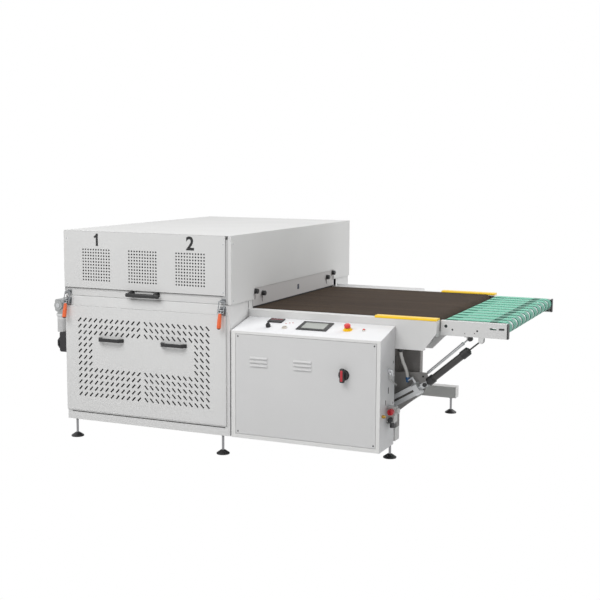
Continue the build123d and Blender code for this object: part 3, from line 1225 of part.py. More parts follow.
def cabinet_door():
    """The door: a folded pan with two groups of pressed louvres and a bore for the main switch."""
    x0, x1 = DOOR_LEFT + DOOR_GAP, DOOR_RIGHT - DOOR_GAP
    z0, z1 = DOOR_BOTTOM + DOOR_GAP, DOOR_TOP - DOOR_GAP
    wall, reach = DOOR_SHEET, LOUVRE_REACH
    door = block(x0, x1, 0, DOOR_RETURN, z0, z1)
    door -= block(x0 + wall, x1 - wall, wall, DOOR_RETURN + 1, z0 + wall, z1 - wall)
    axis_x, axis_y = door_axis()
    for z in (z0, z1 - DOOR_BOSS):
        door += block(x0, axis_x + 8, 0, axis_y + 7, z, z + DOOR_BOSS)
        door -= rod_z(axis_x, axis_y, z - 1, z + DOOR_BOSS + 1, DOOR_PIN_RADIUS + RUNNING_CLEARANCE)
    for x in LOUVRE_GROUPS:
        for row in range(LOUVRE_ROWS):
            z = LOUVRE_TOP - row * LOUVRE_PITCH
            hood = [(1, z + LOUVRE_RISE), (-reach, z + 3), (-reach, z), (1, z)]
            slit = [(3, z + LOUVRE_RISE - 3), (wall - reach, z + 2), (wall - reach, z - 1), (3, z - 1)]
            door += prism_x(hood, x, x + LOUVRE_WIDTH)
            door -= prism_x(slit, x + wall, x + LOUVRE_WIDTH - wall)
    door += rod_y(SWITCH_X, SWITCH_Z, -SWITCH_PLATE, 0, SWITCH_RADIUS)
    return door - rod_y(SWITCH_X, SWITCH_Z, -SWITCH_PLATE - 1, 3, SWITCH_SPINDLE + RUNNING_CLEARANCE)


def main_switch():
    """The rotary handle of the main switch on its spindle."""
    knob = rod_y(SWITCH_X, SWITCH_Z, -SWITCH_PLATE - 10, -SWITCH_PLATE - SEAT_GAP, SWITCH_RADIUS - 10)
    bar = Pos(SWITCH_X, -SWITCH_PLATE - 18, SWITCH_Z) * Rot(0, -18, 0) * Box(20, 18, 72)
    bar = chamfer(bar.edges().filter_by(Axis.Y), 6)
    return knob + bar + rod_y(SWITCH_X, SWITCH_Z, -SWITCH_PLATE - 2, 30, SWITCH_SPINDLE)


def on_panel(place, lift=0.0):
    """A plane on the sloped top, its Z square to the sheet and its Y up the slope."""
    x, up = place
    c, s = unit(PANEL_SLOPE)
    spot = (x, up * c - lift * s, CAB_FRONT_TOP + up * s + lift * c)
    return Plane(origin=spot, x_dir=(1, 0, 0), z_dir=(0, -s, c))


def standing(radius, height):
    """An upright cylinder on the local origin."""
    return Cylinder(radius, height, align=(Align.CENTER, Align.CENTER, Align.MIN))


def panel_devices():
    """The meter, the touch screen and the collars of the push buttons and the selector."""
    base_up = (Align.CENTER, Align.CENTER, Align.MIN)
    meter = on_panel(METER_AT) * Box(*METER_SIZE, align=base_up)
    screen = on_panel(SCREEN_AT) * Box(*SCREEN_SIZE, align=base_up)
    collars = []
    for place, radius, hole in (
        (START_AT, START_RADIUS + COLLAR_WALL, START_RADIUS),
        (RESET_AT, RESET_RADIUS + COLLAR_WALL - 1, RESET_RADIUS),
        (SELECTOR_AT, SELECTOR_RADIUS, SELECTOR_STEM),
    ):
        ring = standing(radius, COLLAR_HEIGHT) - Pos(0, 0, 2) * standing(hole + SEAT_GAP, COLLAR_HEIGHT)
        collars.append(on_panel(place) * ring)
    return group(meter, screen, *collars)


def stop_base():
    """The yellow shroud of the emergency stop."""
    ring = standing(STOP_RADIUS + 10, 3) + standing(STOP_RADIUS + 2, 14)
    return on_panel(STOP_AT) * (ring - Pos(0, 0, 2) * standing(STOP_STEM + SEAT_GAP, 14))


def stop_button():
    """The red mushroom head and its plunger."""
    half = [(0, 20), (STOP_RADIUS, 20), (STOP_RADIUS, 34), (STOP_RADIUS - 7, 40), (0, 40)]
    head = revolve(make_face(Polyline(*[(r, 0, z) for r, z in half], close=True)), Axis.Z)
    return on_panel(STOP_AT) * (head + Pos(0, 0, 9) * standing(STOP_STEM, 12))


def selector_knob():
    """The three-position selector: a skirt with a raised grip."""
    skirt = Pos(0, 0, COLLAR_HEIGHT + SEAT_GAP) * standing(SELECTOR_RADIUS, 9)
    grip = Pos(0, 0, COLLAR_HEIGHT + 9) * Box(9, 27, 12, align=(Align.CENTER, Align.CENTER, Align.MIN))
    stem = Pos(0, 0, 2.5) * standing(SELECTOR_STEM, 6)
    return on_panel(SELECTOR_AT) * (skirt + grip + stem)


def push_button(place, radius):
    """A flat push button standing in its collar."""
    return on_panel(place) * (Pos(0, 0, PLUNGER_HEIGHT) * standing(radius, PLUNGER_HEIGHT))


def electrics():
    """What the console holds: a mounting plate with rails, contactors, drives and lamp ballasts."""
    back = CAB_DEPTH - SHEET
    rear = back - PLATE_STANDOFF
    front = rear - SHEET
    pieces = [block(PLATE_LEFT, PLATE_RIGHT, front, rear, PLATE_BOTTOM, PLATE_TOP)]
    for x in (PLATE_LEFT + 10, PLATE_RIGHT - 30):
        pieces.append(block(x, x + 20, rear, back, PLATE_BOTTOM + 10, PLATE_TOP - 10))
    row = PLATE_TOP - 72
    pieces.append(block(PLATE_LEFT + 20, PLATE_RIGHT - 20, front - 8, front, row - 18, row + 17))
    left = PLATE_LEFT + 40
    for index in range(8):
        x = left + index * 60
        pieces.append(block(x, x + 45, front - 80, front - 8, row - 43, row + 42))
    for index in range(2):
        x = PLATE_RIGHT - 330 + index * 150
        pieces.append(block(x, x + 120, front - 130, front - 8, row - 68, row + 62))
    for index in range(2):
        x = left + index * 420
        pieces.append(block(x, x + 300, front - 150, front, PLATE_BOTTOM + 20, PLATE_BOTTOM + 240))
    pieces.append(block(left, left + 410, front - 60, front, PLATE_BOTTOM + 290, PLATE_BOTTOM + 340))
    return group(*pieces)


def side_fittings():
    """On the console's end wall: the air valve body, regulator, gauge, gland, elbow and hose."""
    x0 = CAB_LENGTH
    sides = (VALVE_Y, VALVE_Y + 58)
    joint = VALVE_Z - 26
    body = block(x0, x0 + 52, *sides, joint, VALVE_Z + 26)
    body += block(x0, x0 + 48, *sides, REGULATOR_Z - 24, joint)
    body += rod_z(x0 + 27, VALVE_Y + 32, REGULATOR_Z - 54, REGULATOR_Z - 24, 17)
    body += rod_x(VALVE_Y + 38, VALVE_Z, x0 + 52, x0 + 66, 18)
    gland = rod_x(44, 350, x0, x0 + 14, 10) + rod_x(44, 350, x0 + 14, x0 + 22, 7)
    elbow = rod_x(ELBOW_Y, ELBOW_Z, x0, x0 + 12, 14) + rod_z(x0 + 12, ELBOW_Y, ELBOW_Z - 18, ELBOW_Z, 7)
    points = [(x0 + 12, ELBOW_Y, ELBOW_Z - 18), (x0 + 12, ELBOW_Y + 2, ELBOW_Z - 50)]
    points += [(x0 + 4, ELBOW_Y + 150, ELBOW_Z - 112), (x0 - 38, CAB_DEPTH + 98, HOSE_FAR_Z)]
    points.append((x0 - 38, POST_Y - ARM_THICKNESS, HOSE_FAR_Z))
    path = FilletPolyline(*points, radius=HOSE_BEND)
    hose = sweep(Plane(origin=path @ 0, z_dir=path % 0) * Circle(HOSE_RADIUS), path=path)
    return group(body, gland, elbow + hose)


def valve_knob():
    """The red knob of the air shut-off valve."""
    x = CAB_LENGTH + VALVE_OUT
    knob = rod_y(x, VALVE_Z, VALVE_Y - 26, VALVE_Y - SEAT_GAP, VALVE_KNOB_RADIUS)
    return knob - block(x - 4, x + 4, VALVE_Y - 28, VALVE_Y - 20, VALVE_Z - 20, VALVE_Z + 20)


def regulator_knob():
    """The black knob of the pressure regulator."""
    x = CAB_LENGTH + REGULATOR_OUT
    return rod_y(x, REGULATOR_Z, VALVE_Y - 20, VALVE_Y - SEAT_GAP, REGULATOR_KNOB_RADIUS)


NODES = {
    "levelling_feet": levelling_feet(),
    "base_frame": base_frame(),
    "base_skins": base_skins(),
    "exhaust_blower": exhaust_blower(),
    "grille_panel": grille_panel(),
    "grille_handles": grille_handles(),
    "conveyor_rails": conveyor_rails(),
    "belt_bed": belt_bed(),
    "conveyor_belt": conveyor_belt(),
    "drive_roller": belt_roller(DRIVE_X, GEARBOX_FRONT - 4),
    "nose_roller": belt_roller(NOSE_X, RAIL_OUTER + SHEET),
    "roller_bearings": roller_bearings(),
    "gearbox": gearbox(),
    "gear_motor": gear_motor(),
    "edge_guards": edge_guards(),
    "outfeed_stand": outfeed_stand(),
    "table_brackets": table_brackets(),
    "lift_cylinder": lift_cylinder(),
    "piston_rod": piston_rod(),
    "lift_strut": lift_strut(),
    "stay_guide": stay_guide(),
    "stay_rod": stay_rod(),
    "table_rails": table_rails(),
    "table_end_caps": table_end_caps(),
    "table_bed": table_bed(),
    "transfer_belts": transfer_belts(),
    "table_drive_roller": table_roller(TABLE_HINGE_X),
    "table_end_roller": table_roller(END_ROLLER_X),
    "hood_shell": hood_shell(),
    "hood_front_cover": hood_front_cover(),
    "hood_handle": hood_handle(),
    "latch_keepers": latch_keepers(),
    "lamp_reflectors": lamp_reflectors(),
    "uv_lamps": uv_lamps(),
    "fan_housings": fan_housings(),
    "exit_shield": exit_shield(),
    "latch_brackets": latch_brackets(),
    "cabinet_shell": cabinet_shell(),
    "cabinet_door": cabinet_door(),
    "main_switch": main_switch(),
    "panel_devices": panel_devices(),
    "stop_base": stop_base(),
    "stop_button": stop_button(),
    "selector_knob": selector_knob(),
    "start_button": push_button(START_AT, START_RADIUS),
    "reset_button": push_button(RESET_AT, RESET_RADIUS),
    "electrics": electrics(),
    "side_fittings": side_fittings(),
    "valve_knob": valve_knob(),
    "regulator_knob": regulator_knob(),
}
for number, (y, z) in enumerate(knob_places(), 1):
    NODES[f"exit_knob_{number}"] = exit_knob(y, z)
for number, x in enumerate(LAMP_STATIONS, 1):
    NODES[f"fan_rotor_{number}"] = fan_rotor(x)
for side, x in zip(("left", "right"), LATCH_X):
    NODES[f"latch_lever_{side}"] = latch_lever(x)
    NODES[f"latch_hook_{side}"] = latch_hook(x)

# The kept origin is the middle of the footprint on the floor.
boxes = [shape.bounding_box() for shape in NODES.values()]
middle_x = (min(box.min.X for box in boxes) + max(box.max.X for box in boxes)) / 2
middle_y = (min(box.min.Y for box in boxes) + max(box.max.Y for box in boxes)) / 2
to_origin = Location((-middle_x, -middle_y, 0))

os.makedirs("parts", exist_ok=True)
for name, shape in NODES.items():
    export_step(shape.moved(to_origin), f"parts/{name}.step")
print(f"{len(NODES)} nodes, origin moved by {-middle_x:.3f}, {-middle_y:.3f}")
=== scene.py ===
import bmesh
import bpy
import math
from mathutils import Matrix, Vector
from mathutils.geometry import interpolate_bezier


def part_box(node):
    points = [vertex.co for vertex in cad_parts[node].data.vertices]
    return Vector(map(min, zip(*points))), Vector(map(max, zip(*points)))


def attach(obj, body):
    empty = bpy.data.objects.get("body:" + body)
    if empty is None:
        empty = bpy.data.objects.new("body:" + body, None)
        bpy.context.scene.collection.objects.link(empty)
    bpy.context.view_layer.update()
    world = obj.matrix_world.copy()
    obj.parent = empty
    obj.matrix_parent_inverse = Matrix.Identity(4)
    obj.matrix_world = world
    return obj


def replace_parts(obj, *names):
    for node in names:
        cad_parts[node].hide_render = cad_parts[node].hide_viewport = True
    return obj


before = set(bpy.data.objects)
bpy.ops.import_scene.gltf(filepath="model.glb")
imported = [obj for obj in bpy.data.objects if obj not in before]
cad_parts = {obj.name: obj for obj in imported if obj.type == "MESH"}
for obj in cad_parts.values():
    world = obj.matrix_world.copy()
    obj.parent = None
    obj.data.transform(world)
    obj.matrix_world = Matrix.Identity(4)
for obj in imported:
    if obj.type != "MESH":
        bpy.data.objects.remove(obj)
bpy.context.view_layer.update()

# Hood shell and exit shield.
# Folded mild steel sheet, welded at the corners and powder coated light grey with a fine orange peel.
# Sizes here are millimetres from the hood's front corner at the exit, on the floor.
EXIT_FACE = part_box("hood_shell")[1].x
FRONT_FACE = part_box("hood_front_cover")[0].y
HOOD_GREY = (0.725, 0.725, 0.72)
SHIELD_GREY = (0.6, 0.585, 0.58)
DUST_TONE = 0.955
PEEL_FINE, PEEL_COARSE, PEEL_DEPTH = 650, 160, 0.06


def at(x, y, z):
    """A point in the frame's metres."""
    return Vector((EXIT_FACE + x / 1000, FRONT_FACE + y / 1000, z / 1000))


class Wire:
    """A socket in a finish. Sums and comparisons on it add Math nodes to the same tree."""

    def __init__(self, finish, socket):
        self.finish = finish
        self.socket = socket

    def maths(self, operation, *values):
        return self.finish.node("ShaderNodeMath", {"operation": operation}, *values)

    def __add__(self, other):
        return self.maths("ADD", self, other)

    def __sub__(self, other):
        return self.maths("SUBTRACT", self, other)

    def __rsub__(self, other):
        return self.maths("SUBTRACT", other, self)

    def __mul__(self, other):
        return self.maths("MULTIPLY", self, other)

    def __pow__(self, other):
        return self.maths("POWER", self, other)

    def __gt__(self, other):
        return self.maths("GREATER_THAN", self, other)

    def __lt__(self, other):
        return self.maths("LESS_THAN", self, other)

    def __mod__(self, other):
        return self.maths("FLOORED_MODULO", self, other)

    def __abs__(self):
        return self.maths("ABSOLUTE", self)

    __radd__ = __add__
    __rmul__ = __mul__


class Finish:
    """A surface finish: a material whose nodes are added one call at a time."""

    def __init__(self, name, colour, roughness=0.5, metallic=0.0, **fixed):
        self.material = bpy.data.materials.new(name)
        self.material.use_nodes = True
        self.tree = self.material.node_tree
        self.shader = self.tree.nodes["Principled BSDF"]
        self.set(**{"Base Color": (*colour, 1), "Roughness": roughness, "Metallic": metallic})
        self.set(**{key.replace("_", " "): value for key, value in fixed.items()})

    def plug(self, socket, value):
        if isinstance(value, Wire):
            self.tree.links.new(value.socket, socket)
        else:
            socket.default_value = value

    def node(self, kind, settings, *values, out=0, **named):
        made = self.tree.nodes.new(kind)
        for key, value in settings.items():
            setattr(made, key, value)
        for index, value in enumerate(values):
            self.plug(made.inputs[index], value)
        for key, value in named.items():
            self.plug(made.inputs[key.replace("_", " ")], value)
        return Wire(self, made.outputs[out])

    def set(self, **sockets):
        for name, value in sockets.items():
            self.plug(self.shader.inputs[name], value)

    def place(self):
        return self.node("ShaderNodeTexCoord", {}, out="Object")

    def axes(self):
        """The piece's own coordinates, in metres."""
        split = self.node("ShaderNodeSeparateXYZ", {}, self.place())
        return [Wire(self, split.socket.node.outputs[name]) for name in "XYZ"]

    def stretch(self, x, y, z):
        return self.node("ShaderNodeVectorMath", {"operation": "MULTIPLY"}, self.place(), (x, y, z))

    def noise(self, scale, detail=2.0, where=None):
        return self.node("ShaderNodeTexNoise", {}, Vector=where or self.place(), Scale=scale, Detail=detail)

    def blend(self, mask, first, second):
        """The first colour where the mask is 0 and the second where it is 1."""
        mixed = self.node("ShaderNodeMix", {"data_type": "RGBA"}, mask, out=2)
        inputs = mixed.socket.node.inputs
        for socket, value in ((inputs[6], first), (inputs[7], second)):
            self.plug(socket, (*value, 1) if isinstance(value, tuple) else value)
        return mixed

    def tint(self, colour):
        self.set(**{"Base Color": colour})

    def bump(self, height, strength, distance=0.001):
        lifted = self.node("ShaderNodeBump", {}, Strength=strength, Distance=distance, Height=height)
        self.set(Normal=lifted)

    def grain(self, scale, detail, depth):
        """A fine relief, the same all over."""
        self.bump(self.noise(scale, detail), depth)

    def wear(self, scale, detail, spread, smoothest):
        """Roughness that drifts in patches, up from the smoothest value."""
        self.set(Roughness=self.noise(scale, detail) * spread + smoothest)

    def on(self, *names):
        """Gives the finish to CAD nodes or to pieces made here."""
        for name in names:
            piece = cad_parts.get(name) or bpy.data.objects[name]
            if not piece.material_slots:
                piece.data.materials.append(self.material)
            for slot in piece.material_slots:
                slot.material = self.material


def powder_coat(name, colour, roughness=0.5, spot=None):
    """Powder coat: orange peel in the surface, and a little dust and handling in the tone."""
    coat = Finish(name, colour, roughness)
    patches = coat.noise(scale=3.5, detail=5)
    speckle = coat.noise(scale=900, detail=2)
    dusty = tuple(part * DUST_TONE for part in colour)
    shade = coat.blend(patches * 1.2 - 0.1 + speckle * 0.15, colour, dusty)
    coat.tint(spot(coat, shade) if spot else shade)
    coat.set(Roughness=patches * 0.12 + (roughness - 0.06))
    coat.bump(coat.noise(PEEL_FINE, 3) + coat.noise(PEEL_COARSE, 1) * 0.6, PEEL_DEPTH)
    return coat


hood_coat = powder_coat("hood_powder_coat", HOOD_GREY)
hood_coat.on("hood_shell")
powder_coat("shield_coat", SHIELD_GREY).on("exit_shield")

# Front cover with three square fields of punched vent holes, 11 by 11 at a 20 mm pitch.
# 3 mm sheet, folded back along its foot and its right edge, and coated like the hood.
COVER_LEFT, COVER_RIGHT = -1240.0, -42.0
COVER_FOOT, COVER_HEAD = 1024.0, 1396.5
COVER_SHEET = 3.0
FOOT_FOLD, EDGE_FOLD, FOLD_NOTCH = 12, 28, 6
FIELD_LEFTS = (-1100.0, -748.5, -400.0)
FIELD_FOOT = 1068.0
HOLES = 11
PITCH = 20.0
HOLE_RADIUS = 5.8
HOLE_SIDES = 12
FIELD_WIDTH = HOLES * PITCH
WELD_GAP = 0.05


def level(x, y, z):
    """A place whose own units are millimetres along the frame's axes."""
    return Matrix.Translation(at(x, y, z)) @ Matrix.Scale(0.001, 4)


def turn(degrees, axis):
    """A turn about one of a place's own axes."""
    return Matrix.Rotation(math.radians(degrees), 4, axis)


class Shape:
    """A closed piece made of blocks and rods, in the millimetres of a place."""

    def __init__(self, place=None):
        self.place = place or level(0, 0, 0)
        self.mesh = bmesh.new()

    def block(self, x0, x1, y0, y1, z0, z1, bevel=0.0, steps=2):
        middle = Matrix.Translation(((x0 + x1) / 2, (y0 + y1) / 2, (z0 + z1) / 2))
        size = Matrix.Diagonal((x1 - x0, y1 - y0, z1 - z0, 1))
        made = bmesh.ops.create_cube(self.mesh, size=1, matrix=self.place @ middle @ size)
        if bevel:
            edges = once(edge for vert in made["verts"] for edge in vert.link_edges)
            self.round_off(edges, bevel, steps)
        return self

    def round_off(self, edges, width, steps=2):
        bmesh.ops.bevel(
            self.mesh, geom=edges, offset=width / 1000, segments=steps,
            profile=0.5, affect="EDGES", material=-1, clamp_overlap=True,
        )

    def rod(self, start, end, radius, tip=None, sides=24):
        start, end = Vector(start), Vector(end)
        aim = (end - start).to_track_quat("Z", "Y").to_matrix().to_4x4()
        matrix = self.place @ Matrix.Translation((start + end) / 2) @ aim
        bmesh.ops.create_cone(
            self.mesh, cap_ends=True, segments=sides, radius1=radius,
            radius2=radius if tip is None else tip, depth=(end - start).length, matrix=matrix,
        )
        return self

    def dome(self, centre, radius, flatten=1.0, sides=16):
        matrix = self.place @ Matrix.Translation(centre) @ Matrix.Diagonal((1, 1, flatten, 1))
        bmesh.ops.create_uvsphere(self.mesh, u_segments=sides, v_segments=8, radius=radius, matrix=matrix)
        return self

    def done(self, name, body, slot, finish, smooth=True):
        mesh = bpy.data.meshes.new(name)
        self.mesh.normal_update()
        self.mesh.to_mesh(mesh)
        self.mesh.free()
        made = bpy.data.objects.new(name, mesh)
        bpy.context.scene.collection.objects.link(made)
        if smooth:
            for face in mesh.polygons:
                face.use_smooth = True
            mesh.set_sharp_from_angle(angle=math.radians(35))
        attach(made, body)
        finish.on(name)
        return made


def only(kind, parts):
    return [part for part in parts if isinstance(part, kind)]


def once(parts):
    """Each part once, in the order of its first mention."""
    return list(dict.fromkeys(parts))


upright = level(0, 0, 0) @ turn(90, "X")
cover = Shape(upright)
sheet = cover.mesh
bmesh.ops.create_circle(sheet, segments=HOLE_SIDES, radius=HOLE_RADIUS, matrix=turn(15, "Z"))
square = bmesh.ops.create_circle(sheet, segments=4, radius=PITCH / math.sqrt(2), matrix=turn(45, "Z"))
sides = once(edge for vert in square["verts"] for edge in vert.link_edges)
bmesh.ops.subdivide_edges(sheet, edges=sides, cuts=HOLE_SIDES // 4 - 1)
bmesh.ops.bridge_loops(sheet, edges=sheet.edges[:])
cell = sheet.verts[:] + sheet.edges[:] + sheet.faces[:]
for left in FIELD_LEFTS:
    for column in range(HOLES):
        for row in range(HOLES):
            middle = (left + (column + 0.5) * PITCH, FIELD_FOOT + (row + 0.5) * PITCH, 0)
            copy = bmesh.ops.duplicate(sheet, geom=cell)["geom"]
            bmesh.ops.translate(sheet, vec=middle, verts=only(bmesh.types.BMVert, copy))
bmesh.ops.delete(sheet, geom=only(bmesh.types.BMVert, cell), context="VERTS")
plate_middle = Matrix.Translation(((COVER_LEFT + COVER_RIGHT) / 2, (COVER_FOOT + COVER_HEAD) / 2, 0))
plate_size = Matrix.Diagonal((COVER_RIGHT - COVER_LEFT, COVER_HEAD - COVER_FOOT, 1, 1))
plate = bmesh.ops.create_grid(
    sheet, x_segments=1, y_segments=1, size=0.5, matrix=plate_middle @ plate_size
)["verts"]
plate_parts = plate + plate[0].link_faces[:] + plate[0].link_faces[0].edges[:]
cuts = [((x, 0, 0), (1, 0, 0)) for left in FIELD_LEFTS for x in (left, left + FIELD_WIDTH)]
cuts += [((0, z, 0), (0, 1, 0)) for z in (FIELD_FOOT, FIELD_FOOT + FIELD_WIDTH)]
for point, facing in cuts:
    cut = bmesh.ops.bisect_plane(sheet, geom=plate_parts, dist=0.01, plane_co=point, plane_no=facing)
    plate_parts = cut["geom"]


def in_a_field(face):
    middle = face.calc_center_median()
    beside = any(left < middle.x < left + FIELD_WIDTH for left in FIELD_LEFTS)
    return beside and FIELD_FOOT < middle.y < FIELD_FOOT + FIELD_WIDTH


windows = [face for face in only(bmesh.types.BMFace, plate_parts) if in_a_field(face)]
rims = once(edge for face in windows for edge in face.edges)
bmesh.ops.delete(sheet, geom=windows, context="FACES_ONLY")
bmesh.ops.subdivide_edges(sheet, edges=rims, cuts=HOLE_SIDES // 4 * HOLES - 1)
bmesh.ops.remove_doubles(sheet, verts=sheet.verts[:], dist=WELD_GAP)
bmesh.ops.recalc_face_normals(sheet, faces=sheet.faces[:])
bmesh.ops.solidify(sheet, geom=sheet.faces[:], thickness=COVER_SHEET)
bmesh.ops.transform(sheet, matrix=upright, verts=sheet.verts[:])
cover.place = level(0, 0, 0)
fold_head = COVER_FOOT + COVER_SHEET
cover.block(COVER_LEFT + FOLD_NOTCH, COVER_RIGHT, COVER_SHEET, FOOT_FOLD, COVER_FOOT, fold_head)
cover.block(COVER_RIGHT - COVER_SHEET, COVER_RIGHT, COVER_SHEET, EDGE_FOLD, fold_head, COVER_HEAD)
punched = cover.done("punched_front_cover", "hood", "hood_front_cover", hood_coat, smooth=False)
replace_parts(punched, "hood_front_cover")

# Filters behind the vent fields, and a seal under the cover's foot that is painted shade, a black strip
# where the cover stands proud of the rail.
# Black open-cell foam, cut to size and glued to the back of the sheet.
FILTER_MARGIN = 6
FILTER_FACE, FILTER_BACK = 9, 13
SHADE_SEAL_HEIGHT, SHADE_SEAL_SHORT = 3.5, 22
foam = Finish("black_foam", (0.022, 0.022, 0.023), roughness=0.85)
foam.grain(scale=500, detail=2, depth=0.4)
filter_foot = FIELD_FOOT - FILTER_MARGIN
filter_head = FIELD_FOOT + FIELD_WIDTH + FILTER_MARGIN
filters = Shape()
for left in FIELD_LEFTS:
    filter_left, filter_right = left - FILTER_MARGIN, left + FIELD_WIDTH + FILTER_MARGIN
    filters.block(filter_left, filter_right, FILTER_FACE, FILTER_BACK, filter_foot, filter_head)
# Painted shade: the black seal gives the dark line under the cover's foot.
shade_seal_left, shade_seal_right = COVER_LEFT + FOLD_NOTCH, COVER_RIGHT - SHADE_SEAL_SHORT
filters.block(shade_seal_left, shade_seal_right, 4, 11.6, COVER_FOOT - SHADE_SEAL_HEIGHT, COVER_FOOT)
filters.done("cover_filters_and_shade_seal", "hood", "hood_front_cover", foam, smooth=False)

# Filler strip in the corner post beside the cover.
# Folded sheet, tack welded inside the post. Its darker grey is painted shade of the recess beside the
# cover.
# Painted shade: the filler's grey is darker than the hood's coat.
CORNER_SHADE_GREY = (0.5, 0.5, 0.5)
CORNER_FOOT, CORNER_HEAD = 972, 1374
corner_coat = powder_coat("corner_coat", CORNER_SHADE_GREY)
corner = Shape().block(COVER_RIGHT + 2.5, -22, COVER_SHEET, 27.5, CORNER_FOOT, CORNER_HEAD)
corner.done("cover_corner_filler", "hood", "hood_shell", corner_coat, smooth=False)

# Cable eye and a dark strip on the exit shield.
# A dark moulded plate let into the sheet, and a black foam strip glued along the shield's foot as painted
# shade of the gap over the belt.
cable_eye = Finish("cable_eye", (0.03, 0.036, 0.06), roughness=0.5)
cable_eye.grain(scale=400, detail=2, depth=0.05)
eye = Shape().block(-3.7, -3.2, 1032, 1064, 962, 998, bevel=0.2, steps=1)
eye.done("shield_cable_eye", "exit_shield", "exit_shield", cable_eye)
# Painted shade: a black strip for the dark gap under the shield.
foot_shade_strip = Shape().block(-6, -4, 322, 1718, 917, 925.5)
foot_shade_strip.done("shield_foot_shade_strip", "exit_shield", "exit_shield", foam, smooth=False)

# Button-head screws in the cover's corners and down the hood's end wall.
# Zinc-plated steel with 10 mm heads. The bearings and the piston rod have the same bright plating.
HEAD_RADIUS, HEAD_CROWN = 5, 3
HEAD_SINK, HEAD_RIM, HEAD_TOP = -1, 0.8, 2.4
END_WALL_Y = 27
zinc = Finish("zinc_plate", (0.5, 0.51, 0.52), roughness=0.36, metallic=1.0)
zinc.wear(scale=45, detail=4, spread=0.3, smoothest=0.24)
zinc.grain(scale=700, detail=2, depth=0.05)
zinc.on("roller_bearings", "piston_rod")


def button_screw(name, place, slot):
    """A screw head on the hood's sheet, whose face is the place's own XY plane."""
    screw = Shape(place)
    screw.rod((0, 0, HEAD_SINK), (0, 0, HEAD_RIM), HEAD_RADIUS)
    screw.rod((0, 0, HEAD_RIM), (0, 0, HEAD_TOP), HEAD_RADIUS, HEAD_CROWN)
    screw.done(name, "hood", slot, zinc)


for number, (x, z) in enumerate(((-1215, 1045), (-1215, 1345), (-55, 1045), (-55, 1345)), 1):
    button_screw(f"cover_screw_{number}", level(x, 0, z) @ turn(90, "X"), "hood_front_cover")
for number, z in enumerate((993, 1349), 1):
    button_screw(f"wall_screw_{number}", level(0, END_WALL_Y, z) @ turn(90, "Y"), "hood_shell")

# Plain numerals over the outer lamp fields.
# Figures of about 83 mm, cut from black vinyl film and stuck on the cover.
ONE_TOP, TWO_FOOT = (-981, 1384), (-289, 1303)
FILM = 0.25
STEM_HALF, STEM_HEIGHT = 8, 81
FLAG_LENGTH, FLAG_SLOPE = 34, 38
vinyl = Finish("black_vinyl", (0.012, 0.012, 0.013), roughness=0.38)
vinyl.grain(scale=400, detail=2, depth=0.05)
one = Shape(level(ONE_TOP[0], -FILM, ONE_TOP[1]) @ turn(90, "X"))
one.block(-STEM_HALF, STEM_HALF, -STEM_HEIGHT, 0, -FILM, FILM)
one.place = one.place @ Matrix.Translation((4, -3, 0)) @ turn(FLAG_SLOPE, "Z")
one.block(-FLAG_LENGTH, 0, -10, 3.5, -FILM, FILM - 0.01)
one.done("numeral_1", "hood", "hood_front_cover", vinyl, smooth=False)
figure = bpy.data.curves.new("numeral_2_outline", "FONT")
figure.body = "2"
figure.size = 0.118
figure.extrude = 0.0002
figure.offset = 0.0032
figure.align_x = "CENTER"
drawn = bpy.data.objects.new("numeral_2_outline", figure)
bpy.context.scene.collection.objects.link(drawn)
flat = bpy.data.meshes.new_from_object(drawn)
bpy.data.objects.remove(drawn)
flat.transform(Matrix.Translation(at(TWO_FOOT[0], -FILM, TWO_FOOT[1])) @ turn(90, "X"))
two = Shape()
two.mesh.from_mesh(flat)
bmesh.ops.remove_doubles(two.mesh, verts=two.mesh.verts[:], dist=1e-6)
two.done("numeral_2", "hood", "hood_front_cover", vinyl, smooth=False)

# Handles on the grille panel, knobs, end caps and fans.
# Black injection-moulded nylon with a fine matt grain, screwed or pushed on.
nylon = Finish("black_nylon", (0.016, 0.016, 0.017), roughness=0.42)
nylon.wear(scale=60, detail=3, spread=0.2, smoothest=0.34)
nylon.grain(scale=900, detail=3, depth=0.12)
nylon.on("grille_handles", "table_end_caps", "selector_knob", "regulator_knob", "stay_guide")
nylon.on("fan_housings", "fan_rotor_1", "fan_rotor_2")
nylon.on("exit_knob_1", "exit_knob_2", "exit_knob_3", "exit_knob_4")

# Bow handle on the hood's rail.
# A moulded nylon bar on two round bosses that are screwed through the rail.
BOW_LEFT, BOW_RIGHT = -752, -503
BOSS_PLACES = (-722, -535)
BOSS_HEIGHT, BOSS_ROOT, BOSS_TIP = 1004, 19, 15
bow = Shape().block(BOW_LEFT, BOW_RIGHT, -36, -14, 983, 1009, bevel=9, steps=3)
for x in BOSS_PLACES:
    bow.rod((x, 12, BOSS_HEIGHT), (x, -20, BOSS_HEIGHT), BOSS_ROOT, BOSS_TIP)
    bow.dome((x, -21, BOSS_HEIGHT - 1), BOSS_TIP)
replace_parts(bow.done("hood_bow_handle", "hood", "hood_handle", nylon), "hood_handle")

# Latches that hold the hood down.
# Dull-plated pressed brackets, a folded yoke under a soft orange-red grip, and a hook bent from wire.
# The grip's rounded lower tip is painted dark brown as shade. Each lever turns on a rivet through its
# bracket.
LATCH_PLACES = (("left", -1208), ("right", -58))
GRIP_ORANGE, GRIP_TIP_SHADE = (0.85, 0.15, 0.045), (0.1, 0.03, 0.02)
GRIP_WAIST, GRIP_BELLY, GRIP_END = 9.5, 13, 13.8
YOKE_HALF, CHEEK = 11, 3.5
latch_steel = Finish("latch_steel", (0.27, 0.28, 0.29), roughness=0.4, metallic=1.0)
latch_steel.wear(scale=60, detail=4, spread=0.3, smoothest=0.26)
latch_steel.on("latch_brackets", "latch_keepers", "latch_hook_left", "latch_hook_right")
grip = Finish("orange_grip", GRIP_ORANGE, roughness=0.42)
